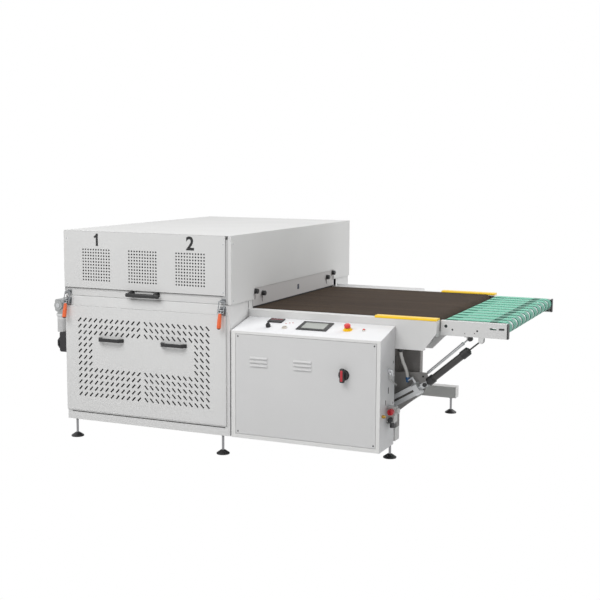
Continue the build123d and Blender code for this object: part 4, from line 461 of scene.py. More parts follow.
# Painted shade: the grip turns dark brown below its lower tip line.
grip.tint(grip.blend(grip.axes()[2] < at(0, 0, 829).z, GRIP_ORANGE, GRIP_TIP_SHADE))
grip.wear(scale=80, detail=3, spread=0.2, smoothest=0.34)
grip.grain(scale=800, detail=2, depth=0.08)
for side, x in LATCH_PLACES:
    lever = f"latch_lever_{side}"
    top, waist, tip = (x, -39, 918), (x, -48, 874), (x, -56, 833)
    sleeve = Shape().rod(top, waist, GRIP_WAIST, GRIP_BELLY).rod(waist, tip, GRIP_BELLY, GRIP_END)
    sleeve.dome(tip, GRIP_END)
    sleeve.done(f"latch_grip_{side}", lever, lever, grip)
    near, far = x - YOKE_HALF, x + YOKE_HALF
    yoke = Shape().rod((near, -24, 932), (far, -24, 932), 8).rod((near, -34, 918), (far, -34, 918), 7)
    for cheek in (near, far - CHEEK):
        yoke.block(cheek, cheek + CHEEK, -40, -20, 910, 936, bevel=3)
    yoke.rod((x, -31, 926), (x, -41, 905), 6)
    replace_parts(yoke.done(f"latch_yoke_{side}", lever, lever, latch_steel), lever)

# Base cabinet: end walls, band, sill, back, herringbone grille panel and the rails it carries.
# The same folded and powder-coated sheet as the hood, over a frame of grey square tube. The grille
# has a foam filter behind it, and a jamb closes the exit beside the belt.
BASE_GREY, LIP_HIGHLIGHT_WHITE, TUBE_GREY = (0.755, 0.755, 0.75), (0.93, 0.93, 0.93), (0.3, 0.3, 0.305)
GRILLE_FOOT, GRILLE_HEAD = 288, 840
base_coat = powder_coat("base_powder_coat", BASE_GREY)
base_coat.on("base_skins", "grille_panel", "conveyor_rails", "table_rails")
grille_foam = Shape().block(-1168, -106, FILTER_FACE, FILTER_BACK, GRILLE_FOOT, GRILLE_HEAD)
grille_foam.done("grille_filter", "machine", "grille_panel", foam, smooth=False)
jamb = Shape().block(-10, -7.4, 262, 326, 912.4, 968)
jamb.done("exit_jamb", "machine", "base_skins", base_coat, smooth=False)
# Painted highlight: the lip along the far rail is a whiter copy of the base coat, for its lit edge.
lip_coat = powder_coat("lip_coat", LIP_HIGHLIGHT_WHITE)
lip = Shape().block(2, 704, 1773, 1776, 912, 928)
lip.done("far_rail_lip", "machine", "conveyor_rails", lip_coat, smooth=False)
powder_coat("frame_tube_coat", TUBE_GREY).on("base_frame")

# Outfeed stand.
# Welded square tube and a side sheet on a foot beam, coated the beam's lighter grey; the dark grey above
# the beam is painted shade under the table.
STAND_SHADE_GREY, BEAM_GREY = (0.235, 0.222, 0.215), (0.74, 0.73, 0.725)
BEAM_LINE = at(0, 0, 204).z


# Painted shade: dark grey above the beam line, the coat's own lighter grey on the foot beam.
def shade_above_beam(coat, shade):
    return coat.blend(coat.axes()[2] < BEAM_LINE, shade, BEAM_GREY)


stand_coat = powder_coat("stand_coat", STAND_SHADE_GREY, spot=shade_above_beam)
stand_coat.on("outfeed_stand")
side_sheet = Shape().block(957.5, 1095, 426, 429, 540, 727)
side_sheet.done("stand_side_sheet", "machine", "outfeed_stand", stand_coat, smooth=False)

# Brackets that carry the outfeed table and its cylinder.
# Laser-cut and folded plate: the hinge plates match the rails; the arm plate below them has a darker grey
# that is painted shade under the table.
PLATE_GREY, ARM_SHADE_GREY = (0.715, 0.715, 0.71), (0.3, 0.29, 0.283)
ARM_LINE = at(0, 0, 640).z


# Painted shade: the arm plate below the hinge plates is darker.
def shade_on_arm(coat, shade):
    return coat.blend(coat.axes()[2] < ARM_LINE, shade, ARM_SHADE_GREY)


powder_coat("bracket_coat", PLATE_GREY, spot=shade_on_arm).on("table_brackets")

# Exhaust blower on the base floor.
# A pressed steel scroll and motor in dark grey coat, with a round spigot through the back.
BLOWER_GREY = (0.16, 0.165, 0.17)
powder_coat("blower_coat", BLOWER_GREY).on("exhaust_blower")

# Levelling feet.
# Black moulded pads on zinc-plated stems, each locked by a jam nut.
PAD_BLACK, STEM_GREY = (0.02, 0.02, 0.021), (0.3, 0.3, 0.31)
PAD_HEIGHT, STEM_LENGTH = 0.0262, 0.088
pad_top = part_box("levelling_feet")[0].z + PAD_HEIGHT
rubber = Finish("foot_rubber_and_stem", PAD_BLACK, roughness=0.55)
height = rubber.axes()[2]
stem = (height > pad_top) * (height < pad_top + STEM_LENGTH)
rubber.tint(rubber.blend(stem, PAD_BLACK, STEM_GREY))
rubber.set(Metallic=stem)
rubber.wear(scale=90, detail=3, spread=0.2, smoothest=0.36)
rubber.grain(scale=500, detail=2, depth=0.1)
rubber.on("levelling_feet")

# Conveyor belt, 1370 mm wide.
# Open mesh of coated brown glass yarn in 4 mm squares, joined into an endless loop, with faint
# streaks along its run.
MESH_BROWN, MESH_HOLE = (0.075, 0.057, 0.043), (0.018, 0.014, 0.012)
STREAK_LIGHT, STREAK_DARK = (0.092, 0.062, 0.04), (0.024, 0.016, 0.011)
SQUARES_PER_METRE = 250
HOLE_HALF = 0.3
mesh = Finish("brown_mesh", MESH_BROWN, roughness=0.8, Specular_IOR_Level=0.12)
along, across, _ = mesh.axes()


def in_a_hole(run):
    return abs((run * SQUARES_PER_METRE) % 1 - 0.5) < HOLE_HALF


hole = in_a_hole(along) * in_a_hole(across)
streaks = mesh.noise(scale=1.0, detail=4, where=mesh.stretch(1.2, 14, 1))
tone = mesh.blend(streaks, STREAK_LIGHT, STREAK_DARK)
mesh.tint(mesh.blend(hole * 0.8, tone, MESH_HOLE))
mesh.bump(1 - hole, 0.4, 0.0006)
mesh.on("conveyor_belt")

# Rollers and the conveyor's slider bed.
# Turned and ground steel, left bare. The table's drive roller is lagged with dark rubber.
steel = Finish("ground_steel", (0.56, 0.57, 0.58), roughness=0.3, metallic=1.0)
rings = steel.noise(scale=1.0, detail=3, where=steel.stretch(40, 900, 40))
steel.set(Roughness=rings * 0.25 + 0.2)
steel.bump(rings, 0.05)
steel.on("drive_roller", "nose_roller", "table_end_roller", "belt_bed")
lagging = Finish("roller_lagging", (0.012, 0.02, 0.018), roughness=0.7)
lagging.grain(scale=260, detail=3, depth=0.15)
lagging.on("table_drive_roller")

# Drive at the infeed end.
# Die-cast gearbox over a painted motor, with a lighter flange at its top and a black connection
# housing and lead bow below.
MOTOR_GREY, FLANGE_GREY, HOUSING_BLACK = (0.58, 0.58, 0.58), (0.72, 0.73, 0.73), (0.018, 0.018, 0.02)
FLANGE_LINE, HOUSING_LINE = 0.77, 0.6835
gear_case = Finish("gear_case", (0.42, 0.43, 0.43), roughness=0.45, metallic=0.6)
gear_case.wear(scale=120, detail=4, spread=0.3, smoothest=0.32)
gear_case.grain(scale=260, detail=3, depth=0.15)
gear_case.on("gearbox")
motor = Finish("motor_paint", MOTOR_GREY, roughness=0.4)
height = motor.axes()[2]
upper = motor.blend(height > FLANGE_LINE, MOTOR_GREY, FLANGE_GREY)
motor.tint(motor.blend(height < HOUSING_LINE, upper, HOUSING_BLACK))
motor.grain(scale=500, detail=2, depth=0.08)
motor.on("gear_motor")

# Guards along the last stretch of the conveyor, and the emergency stop's shroud.
# Safety yellow: wet-painted folded sheet, and moulded plastic screwed to the console.
yellow = Finish("safety_yellow", (1.0, 0.64, 0.01), roughness=0.4)
yellow.wear(scale=30, detail=3, spread=0.15, smoothest=0.3)
yellow.grain(scale=600, detail=2, depth=0.05)
yellow.on("edge_guards", "stop_base")

# Flat belts of the outfeed table.
# Mint green polyurethane with a fine cloth face, welded endless. They are painted darker, as shade, where
# they run over the open gap before the end roller, and where they turn down round it.
MINT = (0.1, 0.46, 0.29)
MINT_LIGHT, MINT_MID = (0.135, 0.56, 0.39), (0.1, 0.47, 0.32)
MINT_TURNED_SHADE, MINT_GAP_SHADE = (0.03, 0.3, 0.2), (0.02, 0.2, 0.13)
RIBS_PER_METRE = 700
TURN_LINE, TOP_LINE = 0.913, 0.9
bed_start, bed_end, roller_start = at(1344, 0, 0).x, at(1541, 0, 0).x, at(1588, 0, 0).x
mint = Finish("mint_belt", MINT, roughness=0.42)
along, across, up = mint.axes()
weave = abs((along * RIBS_PER_METRE) % 1 - 0.5) + abs((across * RIBS_PER_METRE) % 1 - 0.5)
# Painted shade over the open gap and on the downturn at the end roller.
gap_shade_mask = (along > bed_end) * (along < roller_start) * (up > TOP_LINE)
tone = mint.blend(mint.noise(scale=5, detail=3), MINT_LIGHT, MINT_MID)
turned_down = mint.blend((along > roller_start) * (up < TURN_LINE), tone, MINT_TURNED_SHADE)
mint.tint(mint.blend(gap_shade_mask, turned_down, MINT_GAP_SHADE))
mint.bump(weave, 0.12, 0.0004)
mint.on("transfer_belts")

# Bed under the flat belts.
# Folded sheet painted pale, with a green cast that is painted reflection of the belts, and painted shade
# where it drops away at its two ends.
BED_PALE_REFLECTED_GREEN, BED_WORN, BED_END_SHADE = (0.62, 0.76, 0.7), (0.55, 0.7, 0.64), (0.02, 0.06, 0.045)
bed_paint = Finish("table_bed_paint", BED_PALE_REFLECTED_GREEN, roughness=0.45)
along = bed_paint.axes()[0]
# Painted shade at the bed's two ends.
shaded_bed_ends = (along > bed_end) + (along < bed_start)
tone = bed_paint.blend(bed_paint.noise(scale=6, detail=3), BED_PALE_REFLECTED_GREEN, BED_WORN)
bed_paint.tint(bed_paint.blend(shaded_bed_ends, tone, BED_END_SHADE))
bed_paint.grain(scale=500, detail=2, depth=0.06)
bed_paint.on("table_bed")

# Bolts and a slot plug in the outfeed table's front rail.
# Blackened steel button heads, and a moulded plug as dark as they are.
RAIL_BOLTS = ((1324, 858, 5.5), (1476, 859, 5.5), (1401, 839, 2.8), (1460, 844, 2.8))
RAIL_FACE, BOLT_RIM, BOLT_TOP = 336, 334.2, 332.6
dark_screw = Finish("blackened_screw", (0.05, 0.05, 0.05), roughness=0.4, metallic=0.6)
dark_screw.grain(scale=300, detail=2, depth=0.05)
for number, (x, z, radius) in enumerate(RAIL_BOLTS, 1):
    bolt = Shape().rod((x, RAIL_FACE, z), (x, BOLT_RIM, z), radius)
    bolt.rod((x, BOLT_RIM, z), (x, BOLT_TOP, z), radius * 0.9, radius * 0.6)
    bolt.done(f"table_rail_bolt_{number}", "table", "table_rails", dark_screw)
plug = Shape().block(1606, 1640, 333.5, 337, 872, 883, bevel=4, steps=3)
plug.done("table_rail_plug", "table", "table_rails", dark_screw)

# Lift strut.
# A gas strut: a black painted tube in a sleeve, with moulded clamps pressed on at its two ends.
PIN_X, PIN_Z = 1158, 505
STRUT_FOOT, STRUT_HEAD = Vector((PIN_X, 350, PIN_Z)), Vector((1500, 350, 800))
SLEEVE_RADIUS = 21.5
STRUT_CLAMPS = ((26, 68, 27.5), (298, 350, 26.5), (350, 358, 15))
strut_paint = Finish("strut_paint", (0.014, 0.014, 0.015), roughness=0.32)
strut_paint.wear(scale=40, detail=3, spread=0.16, smoothest=0.26)
scuffs = strut_paint.noise(scale=20, detail=3)
strut_paint.tint(strut_paint.blend(scuffs, (0.05, 0.048, 0.046), (0.03, 0.03, 0.03)))
strut_paint.on("lift_strut")


def stretch_of(foot, head, low, high):
    """Two points on the line from foot to head, low and high millimetres up it."""
    reach = (head - foot).length
    return foot.lerp(head, low / reach), foot.lerp(head, high / reach)


sleeve = Shape().rod(*stretch_of(STRUT_FOOT, STRUT_HEAD, 58, 338), SLEEVE_RADIUS, sides=32)
sleeve.done("strut_sleeve", "lift_strut", "lift_strut", strut_paint)
clamps = Shape()
for low, high, radius in STRUT_CLAMPS:
    clamps.rod(*stretch_of(STRUT_FOOT, STRUT_HEAD, low, high), radius, sides=32)
clamps.done("strut_clamps", "lift_strut", "lift_strut", nylon)

# Stay beside the strut.
# A cast eye rod in a drawn tube of the same grey, with a black clamp knob under the table rail.
STAY_FOOT, STAY_HEAD = Vector((1130, 412, 545)), Vector((1412, 412, 800))
KNOB_X, KNOB_Z = 1432, 806
cast = Finish("die_cast", (0.6, 0.61, 0.62), roughness=0.45, metallic=0.9)
cast.wear(scale=120, detail=4, spread=0.3, smoothest=0.32)
cast.grain(scale=260, detail=3, depth=0.15)
cast.on("stay_rod")
tube = Shape().rod(*stretch_of(STAY_FOOT, STAY_HEAD, 30, 320), 9.5)
tube.rod(*stretch_of(STAY_FOOT, STAY_HEAD, 318, 330), 11)
tube.done("stay_tube", "stay_rod", "stay_rod", cast)
knob = Shape().rod((KNOB_X, 360, KNOB_Z), (KNOB_X, 338, KNOB_Z), 15, 14)
knob.rod((KNOB_X, 338, KNOB_Z), (KNOB_X, 335, KNOB_Z), 14, 11)
knob.done("stay_knob", "table", "table_rails", nylon)

# Lift cylinder and its air fitting.
# Drawn and anodised profile barrel with a dark slot down each side. A zinc-plated elbow is screwed
# into its top, and a blue ring on the elbow holds the hose.
PIN, RISE = at(*STRUT_FOOT), math.radians(31)
BARREL_GREY, SLOT_DARK = (0.6, 0.61, 0.62), (0.09, 0.085, 0.08)
BARREL_FRONT, BARREL_BACK = -0.076, -0.336
SLOT_HALF = 0.0068
AIR_PORT, ELBOW_REACH, ELBOW_HEIGHT = -56, 36, 72
barrel = Finish("anodised_barrel", BARREL_GREY, roughness=0.42, metallic=0.75)
along, _, up = barrel.axes()
off_axis = abs((up - PIN.z) * math.cos(RISE) - (along - PIN.x) * math.sin(RISE))
run = (along - PIN.x) * math.cos(RISE) + (up - PIN.z) * math.sin(RISE)
slot = (off_axis < SLOT_HALF) * (run < BARREL_FRONT) * (run > BARREL_BACK)
barrel.tint(barrel.blend(slot, BARREL_GREY, SLOT_DARK))
barrel.wear(scale=120, detail=4, spread=0.25, smoothest=0.32)
barrel.on("lift_cylinder")
top_side = level(*STRUT_FOOT) @ Matrix.Rotation(-RISE, 4, "Y")
air_elbow = Shape(top_side).rod((AIR_PORT, 0, 36), (AIR_PORT, 0, 50), 11, sides=6)
air_elbow.rod((AIR_PORT, 0, 50), (AIR_PORT, 0, 78), 8)
air_elbow.rod((AIR_PORT + 6, 0, ELBOW_HEIGHT), (AIR_PORT - ELBOW_REACH, 0, ELBOW_HEIGHT), 8)
air_elbow.done("cylinder_air_elbow", "machine", "lift_cylinder", zinc)
hose_foot = top_side @ Vector((AIR_PORT - ELBOW_REACH, 0, ELBOW_HEIGHT))
blue = Finish("push_in_blue", (0.03, 0.11, 0.26), roughness=0.4)
blue.wear(scale=80, detail=2, spread=0.1, smoothest=0.34)
ring = Shape(Matrix.Translation(hose_foot) @ Matrix.Scale(0.001, 4))
ring.rod((0, 0, -10), (0, 0, 6), 9).rod((0, 0, 6), (0, 0, 22), 13, 12)
ring.done("cylinder_air_ring", "machine", "lift_cylinder", blue)

# Air hose of the lift cylinder.
# Pale grey polyurethane, 20 mm thick, pushed into the blue ring and hanging in one curve from a
# black gland under the conveyor rail.
HOSE_RADIUS, HOSE_SOCKET, HOSE_PULL = 0.01, 0.012, 0.08
HOSE_STEPS = 17
GLAND_X, GLAND_Y = 1014, 288
hose_head = at(GLAND_X, GLAND_Y, 727)
hose_grey = Finish("hose_grey", (0.6, 0.59, 0.57), roughness=0.45)
hose_grey.grain(scale=300, detail=2, depth=0.04)
bends = [hose_foot + Vector((0, 0, rise)) for rise in (HOSE_SOCKET, HOSE_PULL)]
bends += [hose_head - Vector((0, 0, drop)) for drop in (HOSE_PULL, 0)]
route = interpolate_bezier(*bends, HOSE_STEPS)
beyond = hose_head + Vector((0, 0, 0.01))
hose = Shape()
loop = bmesh.ops.create_circle(hose.mesh, cap_ends=True, segments=16, radius=HOSE_RADIUS)["verts"]
stand_before = Matrix.Translation(route[0])
bmesh.ops.transform(hose.mesh, matrix=stand_before, verts=loop)
rim = hose.mesh.edges[:]
for before, here, after in zip(route, route[1:], route[2:] + [beyond]):
    tilt = Vector((0, 0, 1)).rotation_difference(after - before).to_matrix().to_4x4()
    stand_here = Matrix.Translation(here) @ tilt
    made = bmesh.ops.extrude_edge_only(hose.mesh, edges=rim)["geom"]
    loop = only(bmesh.types.BMVert, made)
    rim = [edge for edge in only(bmesh.types.BMEdge, made) if set(edge.verts) <= set(loop)]
    bmesh.ops.transform(hose.mesh, matrix=stand_here @ stand_before.inverted(), verts=loop)
    stand_before = stand_here
bmesh.ops.contextual_create(hose.mesh, geom=rim)
bmesh.ops.recalc_face_normals(hose.mesh, faces=hose.mesh.faces[:])
hose.done("cylinder_air_hose", "machine", "lift_cylinder", hose_grey)
gland = Shape().rod((GLAND_X, GLAND_Y, 728.5), (GLAND_X, GLAND_Y, 714), 17, sides=6)
gland.rod((GLAND_X, GLAND_Y, 714), (GLAND_X, GLAND_Y, 706), 14, 12)
gland.done("cylinder_hose_gland", "machine", "conveyor_rails", nylon)

# Knob on the pin through the piston rod's fork.
# Black moulded nylon, screwed on the pin's front end.
pin_knob = Shape().rod((PIN_X, 333, PIN_Z), (PIN_X, 324, PIN_Z), 14, 13)
pin_knob.rod((PIN_X, 324, PIN_Z), (PIN_X, 320, PIN_Z), 13, 8)
pin_knob.done("fork_pin_knob", "piston_rod", "piston_rod", nylon)

# Console case, door and switchgear.
# Folded and powder-coated sheet, nearly white on the slope; the greyer tones on the case's front and end
# are painted shade.
# The hinged door is greyer too, with a round black plate behind the main switch.
CASE_WHITE, CASE_FRONT_SHADE, CASE_END_SHADE = (0.93, 0.935, 0.95), (0.8, 0.8, 0.79), (0.7, 0.7, 0.71)
DOOR_GREY, SWITCHGEAR_GREY, PLATE_BLACK = (0.71, 0.71, 0.71), (0.4, 0.4, 0.41), (0.014, 0.014, 0.015)
SWITCH_PLATE_RADIUS, PLATE_PROUD = 0.0345, 0.0004
DOOR_SCREWS = ((46, 779), (46, 176), (947, 779), (947, 176))
SWITCH_PLACE = (756, 0, 592)
SWITCH = at(*SWITCH_PLACE)
END_WALL = at(985.5, 0, 0).x
FRONT_EDGE = at(0, 3, 0).y


def switch_plate(coat, shade):
    along, out, up = coat.axes()
    away = ((along - SWITCH.x) ** 2 + (up - SWITCH.z) ** 2) ** 0.5
    behind_switch = (away < SWITCH_PLATE_RADIUS) * (out < SWITCH.y - PLATE_PROUD)
    return coat.blend(behind_switch, shade, PLATE_BLACK)


# Painted shade: darker greys on the case's front edge and end wall.
def painted_case_shade(coat, shade):
    along, out, _ = coat.axes()
    shade = coat.blend(out < FRONT_EDGE, shade, CASE_FRONT_SHADE)
    return coat.blend(along > END_WALL, shade, CASE_END_SHADE)


powder_coat("console_powder_coat", CASE_WHITE, spot=painted_case_shade).on("cabinet_shell")
powder_coat("door_powder_coat", DOOR_GREY, spot=switch_plate).on("cabinet_door")
powder_coat("switchgear", SWITCHGEAR_GREY).on("electrics")
for number, (x, z) in enumerate(DOOR_SCREWS, 1):
    screw = Shape(level(x, 0, z) @ turn(90, "X")).rod((0, 0, HEAD_SINK), (0, 0, 1.2), 5.5, 4.5)
    screw.done(f"door_screw_{number}", "cabinet_door", "cabinet_door", dark_screw)

# Main switch, valve knob and the red push buttons.
# Glossy moulded plastic. The switch has a red handle let into its black hub.
signal_red = Finish("signal_red", (0.78, 0.025, 0.024), roughness=0.28, Coat_Weight=0.4)
signal_red.wear(scale=50, detail=2, spread=0.1, smoothest=0.24)
signal_red.on("stop_button", "reset_button")
deep_red = Finish("deep_red", (0.52, 0.01, 0.025), roughness=0.3, Coat_Weight=0.3)
deep_red.wear(scale=50, detail=2, spread=0.1, smoothest=0.26)
deep_red.on("valve_knob")
switch_front = level(*SWITCH_PLACE)
hub = Shape(switch_front).rod((0, -6.3, 0), (0, -22, 0), 31, 28, sides=40)
hub.block(-15, 15, -44, -18, -43, 43, bevel=8, steps=3)
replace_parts(hub.done("switch_hub", "main_switch", "main_switch", nylon), "main_switch")
handle = Shape(switch_front).block(-8, 8, -46.5, -36, -34, 34, bevel=4, steps=3)
handle.done("switch_handle", "main_switch", "main_switch", deep_red)

# Meter and touch screen on the console's sloped top.
# Black moulded cases let into the sheet, 7 and 6 mm proud, with a grey-green glass, dark red
# digits and a black key row.
METER_PROUD, SCREEN_PROUD, LET_IN = 7, 6, 0.5
DESK_FRONT, DESK_BACK = (0, 0, 811), (0, 262, 868)
desk_front, desk_back = at(*DESK_FRONT), at(*DESK_BACK)
slope = math.atan2(desk_back.z - desk_front.z, desk_back.y - desk_front.y)
desk = level(*DESK_FRONT) @ Matrix.Rotation(slope, 4, "X")
meter_case = Shape(desk).block(164, 262, 182, 248, 0, METER_PROUD, bevel=2)
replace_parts(meter_case.done("meter_case", "machine", "panel_devices", nylon), "panel_devices")
screen_case = Shape(desk).block(398, 600, 92, 236, 0, SCREEN_PROUD, bevel=2)
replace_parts(screen_case.done("screen_case", "machine", "panel_devices", nylon), "panel_devices")
glass = Finish("screen_glass", (0.36, 0.38, 0.35), roughness=0.22, Coat_Weight=0.5)
glass.wear(scale=14, detail=3, spread=0.12, smoothest=0.16)
screen_glass = Shape(desk).block(424, 574, 116, 212, SCREEN_PROUD - LET_IN, 6.4, bevel=0.3, steps=1)
screen_glass.done("screen_glass", "machine", "panel_devices", glass)
digits = Finish("meter_digits", (0.17, 0.045, 0.055), roughness=0.3)
digits.wear(scale=60, detail=2, spread=0.1, smoothest=0.22)
meter_digits = Shape(desk).block(172, 254, 218, 241, METER_PROUD - LET_IN, 7.4, bevel=0.3, steps=1)
meter_digits.done("meter_digits", "machine", "panel_devices", digits)
meter_keys = Shape(desk).block(172, 254, 190, 208, METER_PROUD - LET_IN, 7.3, bevel=0.3, steps=1)
meter_keys.done("meter_keys", "machine", "panel_devices", vinyl)

# Collars round the buttons on the sloped top.
# Turned rings, 8 mm high: satin metal round start and reset, black round the selector.
COLLAR_HEIGHT, COLLAR_EDGE, COLLAR_FLOOR = 8, 1, 2.2
silver = Finish("satin_ring", (0.62, 0.58, 0.53), roughness=0.3, metallic=0.8)
silver.wear(scale=90, detail=3, spread=0.2, smoothest=0.22)
silver.on("start_button")


def collar(name, x, up, outer, inner, finish):
    """A ring round a button, spun from its section."""
    ring = Shape(desk @ Matrix.Translation((x, up, 0)))
    shoulder = COLLAR_HEIGHT - COLLAR_EDGE
    section = (
        (outer, 0), (outer, shoulder), (outer - COLLAR_EDGE, COLLAR_HEIGHT),
        (inner, COLLAR_HEIGHT), (inner, COLLAR_FLOOR),
    )
    points = [ring.mesh.verts.new(ring.place @ Vector((r, 0, z))) for r, z in section]
    edges = [ring.mesh.edges.new(pair) for pair in zip(points, points[1:] + points[:1])]
    axis = ring.place.to_3x3().normalized() @ Vector((0, 0, 1))
    bmesh.ops.spin(
        ring.mesh, geom=points + edges, cent=ring.place.translation, axis=axis,
        angle=math.tau, steps=24, use_merge=True,
    )
    bmesh.ops.remove_doubles(ring.mesh, verts=ring.mesh.verts[:], dist=1e-6)
    bmesh.ops.recalc_face_normals(ring.mesh, faces=ring.mesh.faces[:])
    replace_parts(ring.done(name, "machine", "panel_devices", finish), "panel_devices")


collar("start_collar", 318, 104, 17, 10.3, silver)
collar("reset_collar", 825, 152, 11, 7.3, silver)
collar("selector_collar", 207, 104, 15, 8.3, nylon)

# Indicator lamps beside the meter.
# Small pink plastic lenses pushed into the sheet.
INDICATORS = ((294, 183), (315, 195), (334, 200))
pink = Finish("indicator_pink", (0.8, 0.5, 0.5), roughness=0.25)
pink.wear(scale=80, detail=2, spread=0.1, smoothest=0.2)
for number, (x, up) in enumerate(INDICATORS, 1):
    lamp = Shape(desk).rod((x, up, 0), (x, up, 2), 5).dome((x, up, 2), 4, flatten=0.6)
    lamp.done(f"indicator_{number}", "machine", "panel_devices", pink)

# Fittings on the console's end wall.
# Grey valve and regulator bodies over a black bowl, a brass gland and a bright elbow with its
# hose. They screw into the wall, which has four black sockets beside them.
BODY_GREY, BOWL_BLACK = (0.5, 0.5, 0.49), (0.05, 0.05, 0.052)
CHROME, BRASS = (0.7, 0.7, 0.72), (0.5, 0.3, 0.06)
ELBOW_Y, ELBOW_Z, ELBOW_FACE, ELBOW_NECK, ELBOW_TURN = 144, 610, 986, 992, 1006
SOCKETS = ((150, 489, 6, 19), (104, 422, 5, 15), (239, 395, 4, 8), (236, 650, 4, 8))
fittings = Finish("fittings", BODY_GREY, roughness=0.35)
_, out, up = fittings.axes()
brass = out < at(0, 70, 0).y
chrome = up > at(0, 0, 585).z
bowl = up < at(0, 0, 298).z
shade = fittings.blend(bowl, BODY_GREY, BOWL_BLACK)
shade = fittings.blend(chrome, shade, CHROME)
fittings.tint(fittings.blend(brass, shade, BRASS))
fittings.set(Metallic=(chrome + brass) * 0.9)
fittings.wear(scale=90, detail=3, spread=0.2, smoothest=0.2)
fittings.on("side_fittings")
face, neck, bend = ((x, ELBOW_Y, ELBOW_Z) for x in (ELBOW_FACE, ELBOW_NECK, ELBOW_TURN))
elbow = Shape().rod(face, neck, 17, sides=6).rod(neck, bend, 12, 11)
elbow.dome(bend, 11.5).rod(bend, (ELBOW_TURN, 156, 584), 9)
elbow.done("elbow_body", "machine", "side_fittings", zinc)
sockets = Shape()
for y, z, width, height in SOCKETS:
    sockets.block(985, 986.7, y - width, y + width, z - height, z + height, bevel=0.5, steps=1)
sockets.done("console_end_sockets", "machine", "cabinet_shell", foam)

# Lamps and reflectors under the hood.
# Quartz tubes with white ceramic ends, in pressed troughs of polished aluminium.
QUARTZ, CERAMIC = (0.85, 0.88, 0.93), (0.9, 0.88, 0.84)
CERAMIC_LENGTH = 0.06
quartz = Finish("quartz_tube", QUARTZ, roughness=0.08, Transmission_Weight=0.6)
quartz.wear(scale=40, detail=2, spread=0.08, smoothest=0.05)
lamp_near, lamp_far = (corner.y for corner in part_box("uv_lamps"))
across = quartz.axes()[1]
ceramic = (across < lamp_near + CERAMIC_LENGTH) + (across > lamp_far - CERAMIC_LENGTH)
quartz.tint(quartz.blend(ceramic, QUARTZ, CERAMIC))
quartz.on("uv_lamps")
polished = Finish("polished_aluminium", (0.82, 0.83, 0.84), roughness=0.12, metallic=1.0)
polished.wear(scale=30, detail=3, spread=0.12, smoothest=0.08)
polished.on("lamp_reflectors")

# Floor and backdrop of the studio.
# One sheet of paper, white to the camera and in reflections, and a pale matt floor to the lights.
PAPER = (0.8, 0.8, 0.8)
FLOOR_HALF = 30
paper = Finish("studio_floor", PAPER, roughness=0.9)
glow = paper.node("ShaderNodeEmission", {}, (1, 1, 1, 1), 1.0)
path = paper.node("ShaderNodeLightPath", {}, out="Is Camera Ray")
rays = path.socket.node.outputs
seen = path.maths("MAXIMUM", path, Wire(paper, rays["Is Glossy Ray"]))
seen = path.maths("MAXIMUM", seen, Wire(paper, rays["Is Transmission Ray"]))
shown = paper.node("ShaderNodeMixShader", {}, seen)
paper.tree.links.new(paper.shader.outputs[0], shown.socket.node.inputs[1])
paper.tree.links.new(glow.socket, shown.socket.node.inputs[2])
paper.tree.links.new(shown.socket, paper.tree.nodes["Material Output"].inputs["Surface"])
ground = bmesh.new()
bmesh.ops.create_grid(ground, x_segments=1, y_segments=1, size=FLOOR_HALF)
ground_mesh = bpy.data.meshes.new("studio_floor")
ground.to_mesh(ground_mesh)
ground.free()
ground_sheet = bpy.data.objects.new("studio_floor", ground_mesh)
bpy.context.scene.collection.objects.link(ground_sheet)
ground_sheet.data.materials.append(paper.material)

# Lights and air of the studio.
# Three soft boxes above the machine, and an even pale light all round that shows as white behind it.
AIR_LIGHT, AIR_SEEN = 0.3, 1.0


def soft_light(name, place, target, size, power):
    lamp = bpy.data.lights.new(name, "AREA")
    lamp.shape = "RECTANGLE"
    lamp.size, lamp.size_y = size
    lamp.energy = power
    holder = bpy.data.objects.new(name, lamp)
    aim = Vector(target) - Vector(place)
    holder.matrix_world = Matrix.Translation(place) @ aim.to_track_quat("-Z", "Y").to_matrix().to_4x4()
    bpy.context.scene.collection.objects.link(holder)


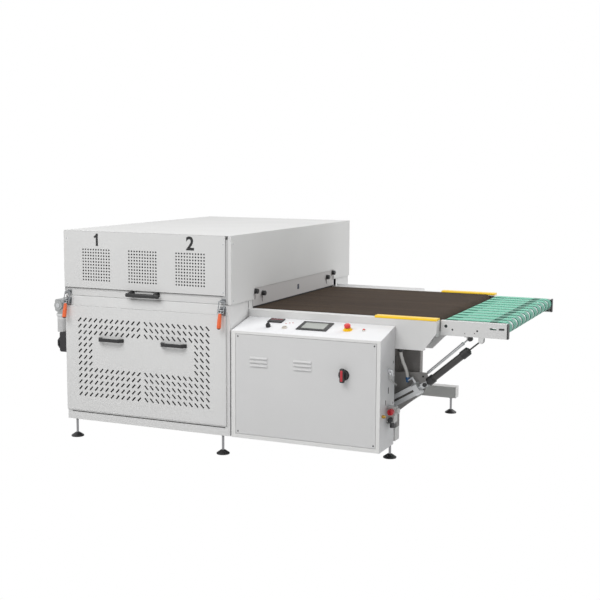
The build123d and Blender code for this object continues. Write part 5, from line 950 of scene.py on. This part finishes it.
soft_light("front_above", (-1.2, -5.0, 5.0), (-0.2, -0.6, 0.7), (5, 3), power=220)
soft_light("overhead", (0.3, 0.8, 5.5), (0, 0, 0.8), (5, 5), power=55)
soft_light("right_side", (5.0, 4.5, 5.0), (0, 0.2, 1.1), (3, 3), power=260)
world = bpy.data.worlds.new("studio_air")
bpy.context.scene.world = world
world.use_nodes = True
nodes, links = world.node_tree.nodes, world.node_tree.links
air = nodes["Background"]
air.inputs["Color"].default_value = (1, 1, 1, 1)
path = nodes.new("ShaderNodeLightPath")
bright = path.outputs["Is Camera Ray"]
for kind in ("Is Glossy Ray", "Is Transmission Ray"):
    either = nodes.new("ShaderNodeMath")
    either.operation = "MAXIMUM"
    links.new(bright, either.inputs[0])
    links.new(path.outputs[kind], either.inputs[1])
    bright = either.outputs[0]
strength = nodes.new("ShaderNodeMapRange")
strength.inputs["To Min"].default_value = AIR_LIGHT
strength.inputs["To Max"].default_value = AIR_SEEN
links.new(bright, strength.inputs["Value"])
links.new(strength.outputs[0], air.inputs["Strength"])
bpy.context.scene.view_settings.view_transform = "Standard"

# Camera at the photograph's place.
# A 67 mm lens, 7.2 degrees down and 23.5 degrees round to the exit side.
CAMERA_AT = (3128.4, -6124.8, 1869.6)
TURN, DIP, ROLL = 0.410029, 0.125308, 0.005936
SENSOR_WIDTH = 36
FOCAL_PIXELS, PHOTO_PIXELS = 1114.186, 600
lens = bpy.data.cameras.new("photo_lens")
lens.sensor_width = SENSOR_WIDTH
lens.lens = FOCAL_PIXELS / PHOTO_PIXELS * SENSOR_WIDTH
lens.clip_end = 100
ahead = Vector((-math.sin(TURN) * math.cos(DIP), math.cos(TURN) * math.cos(DIP), -math.sin(DIP)))
right = Vector((math.cos(TURN), math.sin(TURN), 0))
below = ahead.cross(right)
sideways = right * math.cos(ROLL) - below * math.sin(ROLL)
below = right * math.sin(ROLL) + below * math.cos(ROLL)
turned = Matrix((sideways, -below, -ahead)).transposed().to_4x4()
camera = bpy.data.objects.new("photo_camera", lens)
camera.matrix_world = Matrix.Translation(at(*CAMERA_AT)) @ turned
bpy.context.scene.collection.objects.link(camera)
bpy.context.scene.camera = camera
